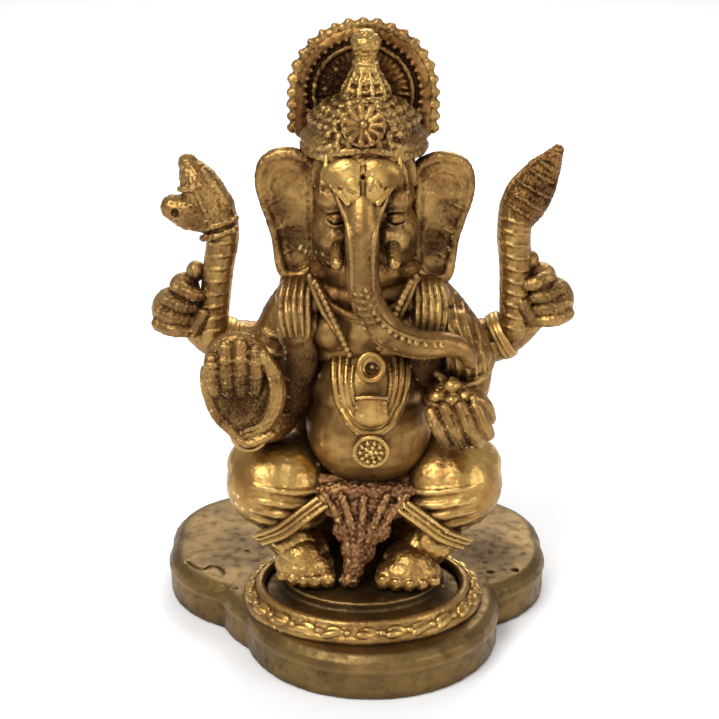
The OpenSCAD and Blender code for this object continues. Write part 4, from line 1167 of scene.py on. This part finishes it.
# scales on both flanks and round the back
for row in range(crown["scaleRows"]):
    height = -1.6 + row * 1.35
    count = 34 - row * 5
    for k in range(count):
        a = 2 * math.pi * (k + 0.5 * (row % 2)) / count
        aim = Vector((-math.sin(a), math.cos(a), -0.25)).normalized()
        start = spot((0, 0, height)) - aim * 40 * mm
        hit, place, normal, face = cap.ray_cast(start, aim)
        front = abs(math.degrees(math.atan2(math.sin(a), math.cos(a)))) < 24
        if hit and not front:
            at = place / mm - bench["place"] + normal * 0.1
            parts.append(ball(tuple(at), (0.9, 0.9, 0.6), rows=6))
# petals round the boss
for count, away, size in crown["petals"]:
    for a in turned(count):
        x, z = away * math.cos(a), 1.4 + away * 0.62 * math.sin(a)
        if z < -1.8:
            continue
        for point in lay(cap, [(x, 0, z), (x * 1.02, 0, z + 0.01)], 0.1)[:1]:
            parts.append(ball(point, size, rows=7))
cap = fuse("crown_cap", parts, 0.26, 1)
settle(cap, "antique_brass", "crown", skin=(0.6, 0.45),
    marks=[((0, -10.6, -1.6), 2.6, 0.5), ((-9, -5, 0), 4, 0.3), ((9, -5, 0), 4, 0.3)])
rosette = {"radius": 4.0, "tilt": -34, "edge": 0.25, "rays": 11, "grains": [], "boss": 0.9}
medal("crown_boss", "crown_rosette", "antique_brass", rosette)

finial = {
    "mass": [((0, 0, -2.8), (3.3, 3.3, 1.9)), ((0, 0, -0.8), (2.6, 2.6, 1.7)),
        ((0, 0, 1.4), (2.0, 2.0, 1.5)), ((0, 0, 3.8), (2.8, 2.8, 2.2)), ((0, 0, 5.4), (1.6, 1.6, 0.9)),
        ((0, 0, -4.4), (4.1, 4.1, 1.2))],
    "hoops": [(0.4, 2.1, 0.4), (2.2, 1.9, 0.35)], "foot": ((0, 0, -5.7), (4.6, 4.6, 0.6)), "ribs": 10,
    "rib": [(4.0, -4.6), (2.9, -2.2), (1.8, 0.2)],
}
startAt("crown_finial")
parts = lumps(finial["mass"])
parts += [oval((0, 0, z), radius, radius, thick) for z, radius, thick in finial["hoops"]]
parts.append(drum(*finial["foot"]))
for a in turned(finial["ribs"]):
    parts.append(rod([(r * math.cos(a), r * math.sin(a), z) for r, z in finial["rib"]], [0.55, 0.4, 0.2]))
knob = fuse("crown_knob", parts, 0.2, 1)
settle(knob, "worn_brass", "crown_finial", skin=(0.6, 0.5))

aureole = {"disc": 12.4, "rim": (11.3, 1.3), "lip": (12.1, 0.7), "bead": (8.9, 0.5), "foot": -7.2,
           "rays": 26, "rayEnds": (6.0, 8.8), "notches": 44, "notchEnds": (10.3, 12.0)}
startAt("aureole")
half = -aureole["foot"] / 2
parts = [drum((0, 0.6, 0), (aureole["disc"], aureole["disc"], 1.1), (90, 0, 0)),
         upright(aureole["rim"][0], -0.4, aureole["rim"][1]),
         upright(aureole["lip"][0] - 0.2, 0.4, aureole["lip"][1]),
         upright(aureole["bead"][0], -0.9, aureole["bead"][1]), block((0, 0.6, -half), (12.2, 1.1, half))]
for side in (-1, 1):  # the arch's straight legs
    for (away, thick), y in ((aureole["rim"], -0.4), (aureole["lip"], 0.4)):
        parts.append(rod([(side * away, y, 0.4), (side * away, y, aureole["foot"])], thick))
inner, outer = aureole["rayEnds"]
for k in range(aureole["rays"]):
    a = math.radians(-20 + 220 * k / (aureole["rays"] - 1))
    parts.append(rod([clock(inner, a, -0.5), clock(outer, a, -0.6)], [0.2, 0.3]))
inner, outer = aureole["notchEnds"]
for a in turned(aureole["notches"]):
    parts.append(rod([clock(inner, a, -1.5), clock(outer, a, -1.1)], [0.32, 0.4]))
glory = fuse("aureole_disc", parts, 0.28, 1)
# painted shadow: the marks darken the left inside of the disc and its middle, behind the crown
settle(glory, "dark_brass", "aureole", skin=(0.8, 0.4),
    marks=[((-5.5, -1, 3), 6.5, 1.0), ((-5.5, -1, 3), 6.5, 1.0), ((0, -1, 0), 6, 0.6)])

teeth = {"count": 17, "radius": 12.4, "centre": -3.14, "drop": 2.2}
startAt("aureole_teeth")
parts = []
between = teeth["count"] - 1
seats = [(math.cos(math.pi * k / between), math.sin(math.pi * k / between), 0)
    for k in range(teeth["count"])]
seats += [(side, 0, -teeth["drop"] * k) for side in (-1, 1) for k in (1, 2, 3)]
for x, z, drop in seats:
    big = dice.uniform(0.86, 1.0)
    root, tip = [(r * x, y, r * z + drop + teeth["centre"]) for r,
        y in ((teeth["radius"], 0), (13.2, -0.1))]
    parts.append(rod([root, tip], [1.12 * big, 0.9 * big], step=0.5))
    parts.append(ball((12.8 * x, 0, 12.8 * z + drop + teeth["centre"]), (1.2 * big, 1.0, 1.25 * big),
        rows=8))
for k in range(between):
    x, y, z = clock(12.5, math.pi * (k + 0.5) / between, 0.1)
    parts.append(ball((x, y, z + teeth["centre"]), 0.9, rows=7))
parts += [ball((side * 12.5, 0.1, -4.24 - teeth["drop"] * k), 0.9, rows=7) for side in (-1, 1)
    for k in range(3)]
fringe = fuse("aureole_fringe", parts, 0.2, 1)
settle(fringe, "antique_brass", "aureole_teeth", skin=(0.6, 0.3))
print("crown done")

print("all pieces done")
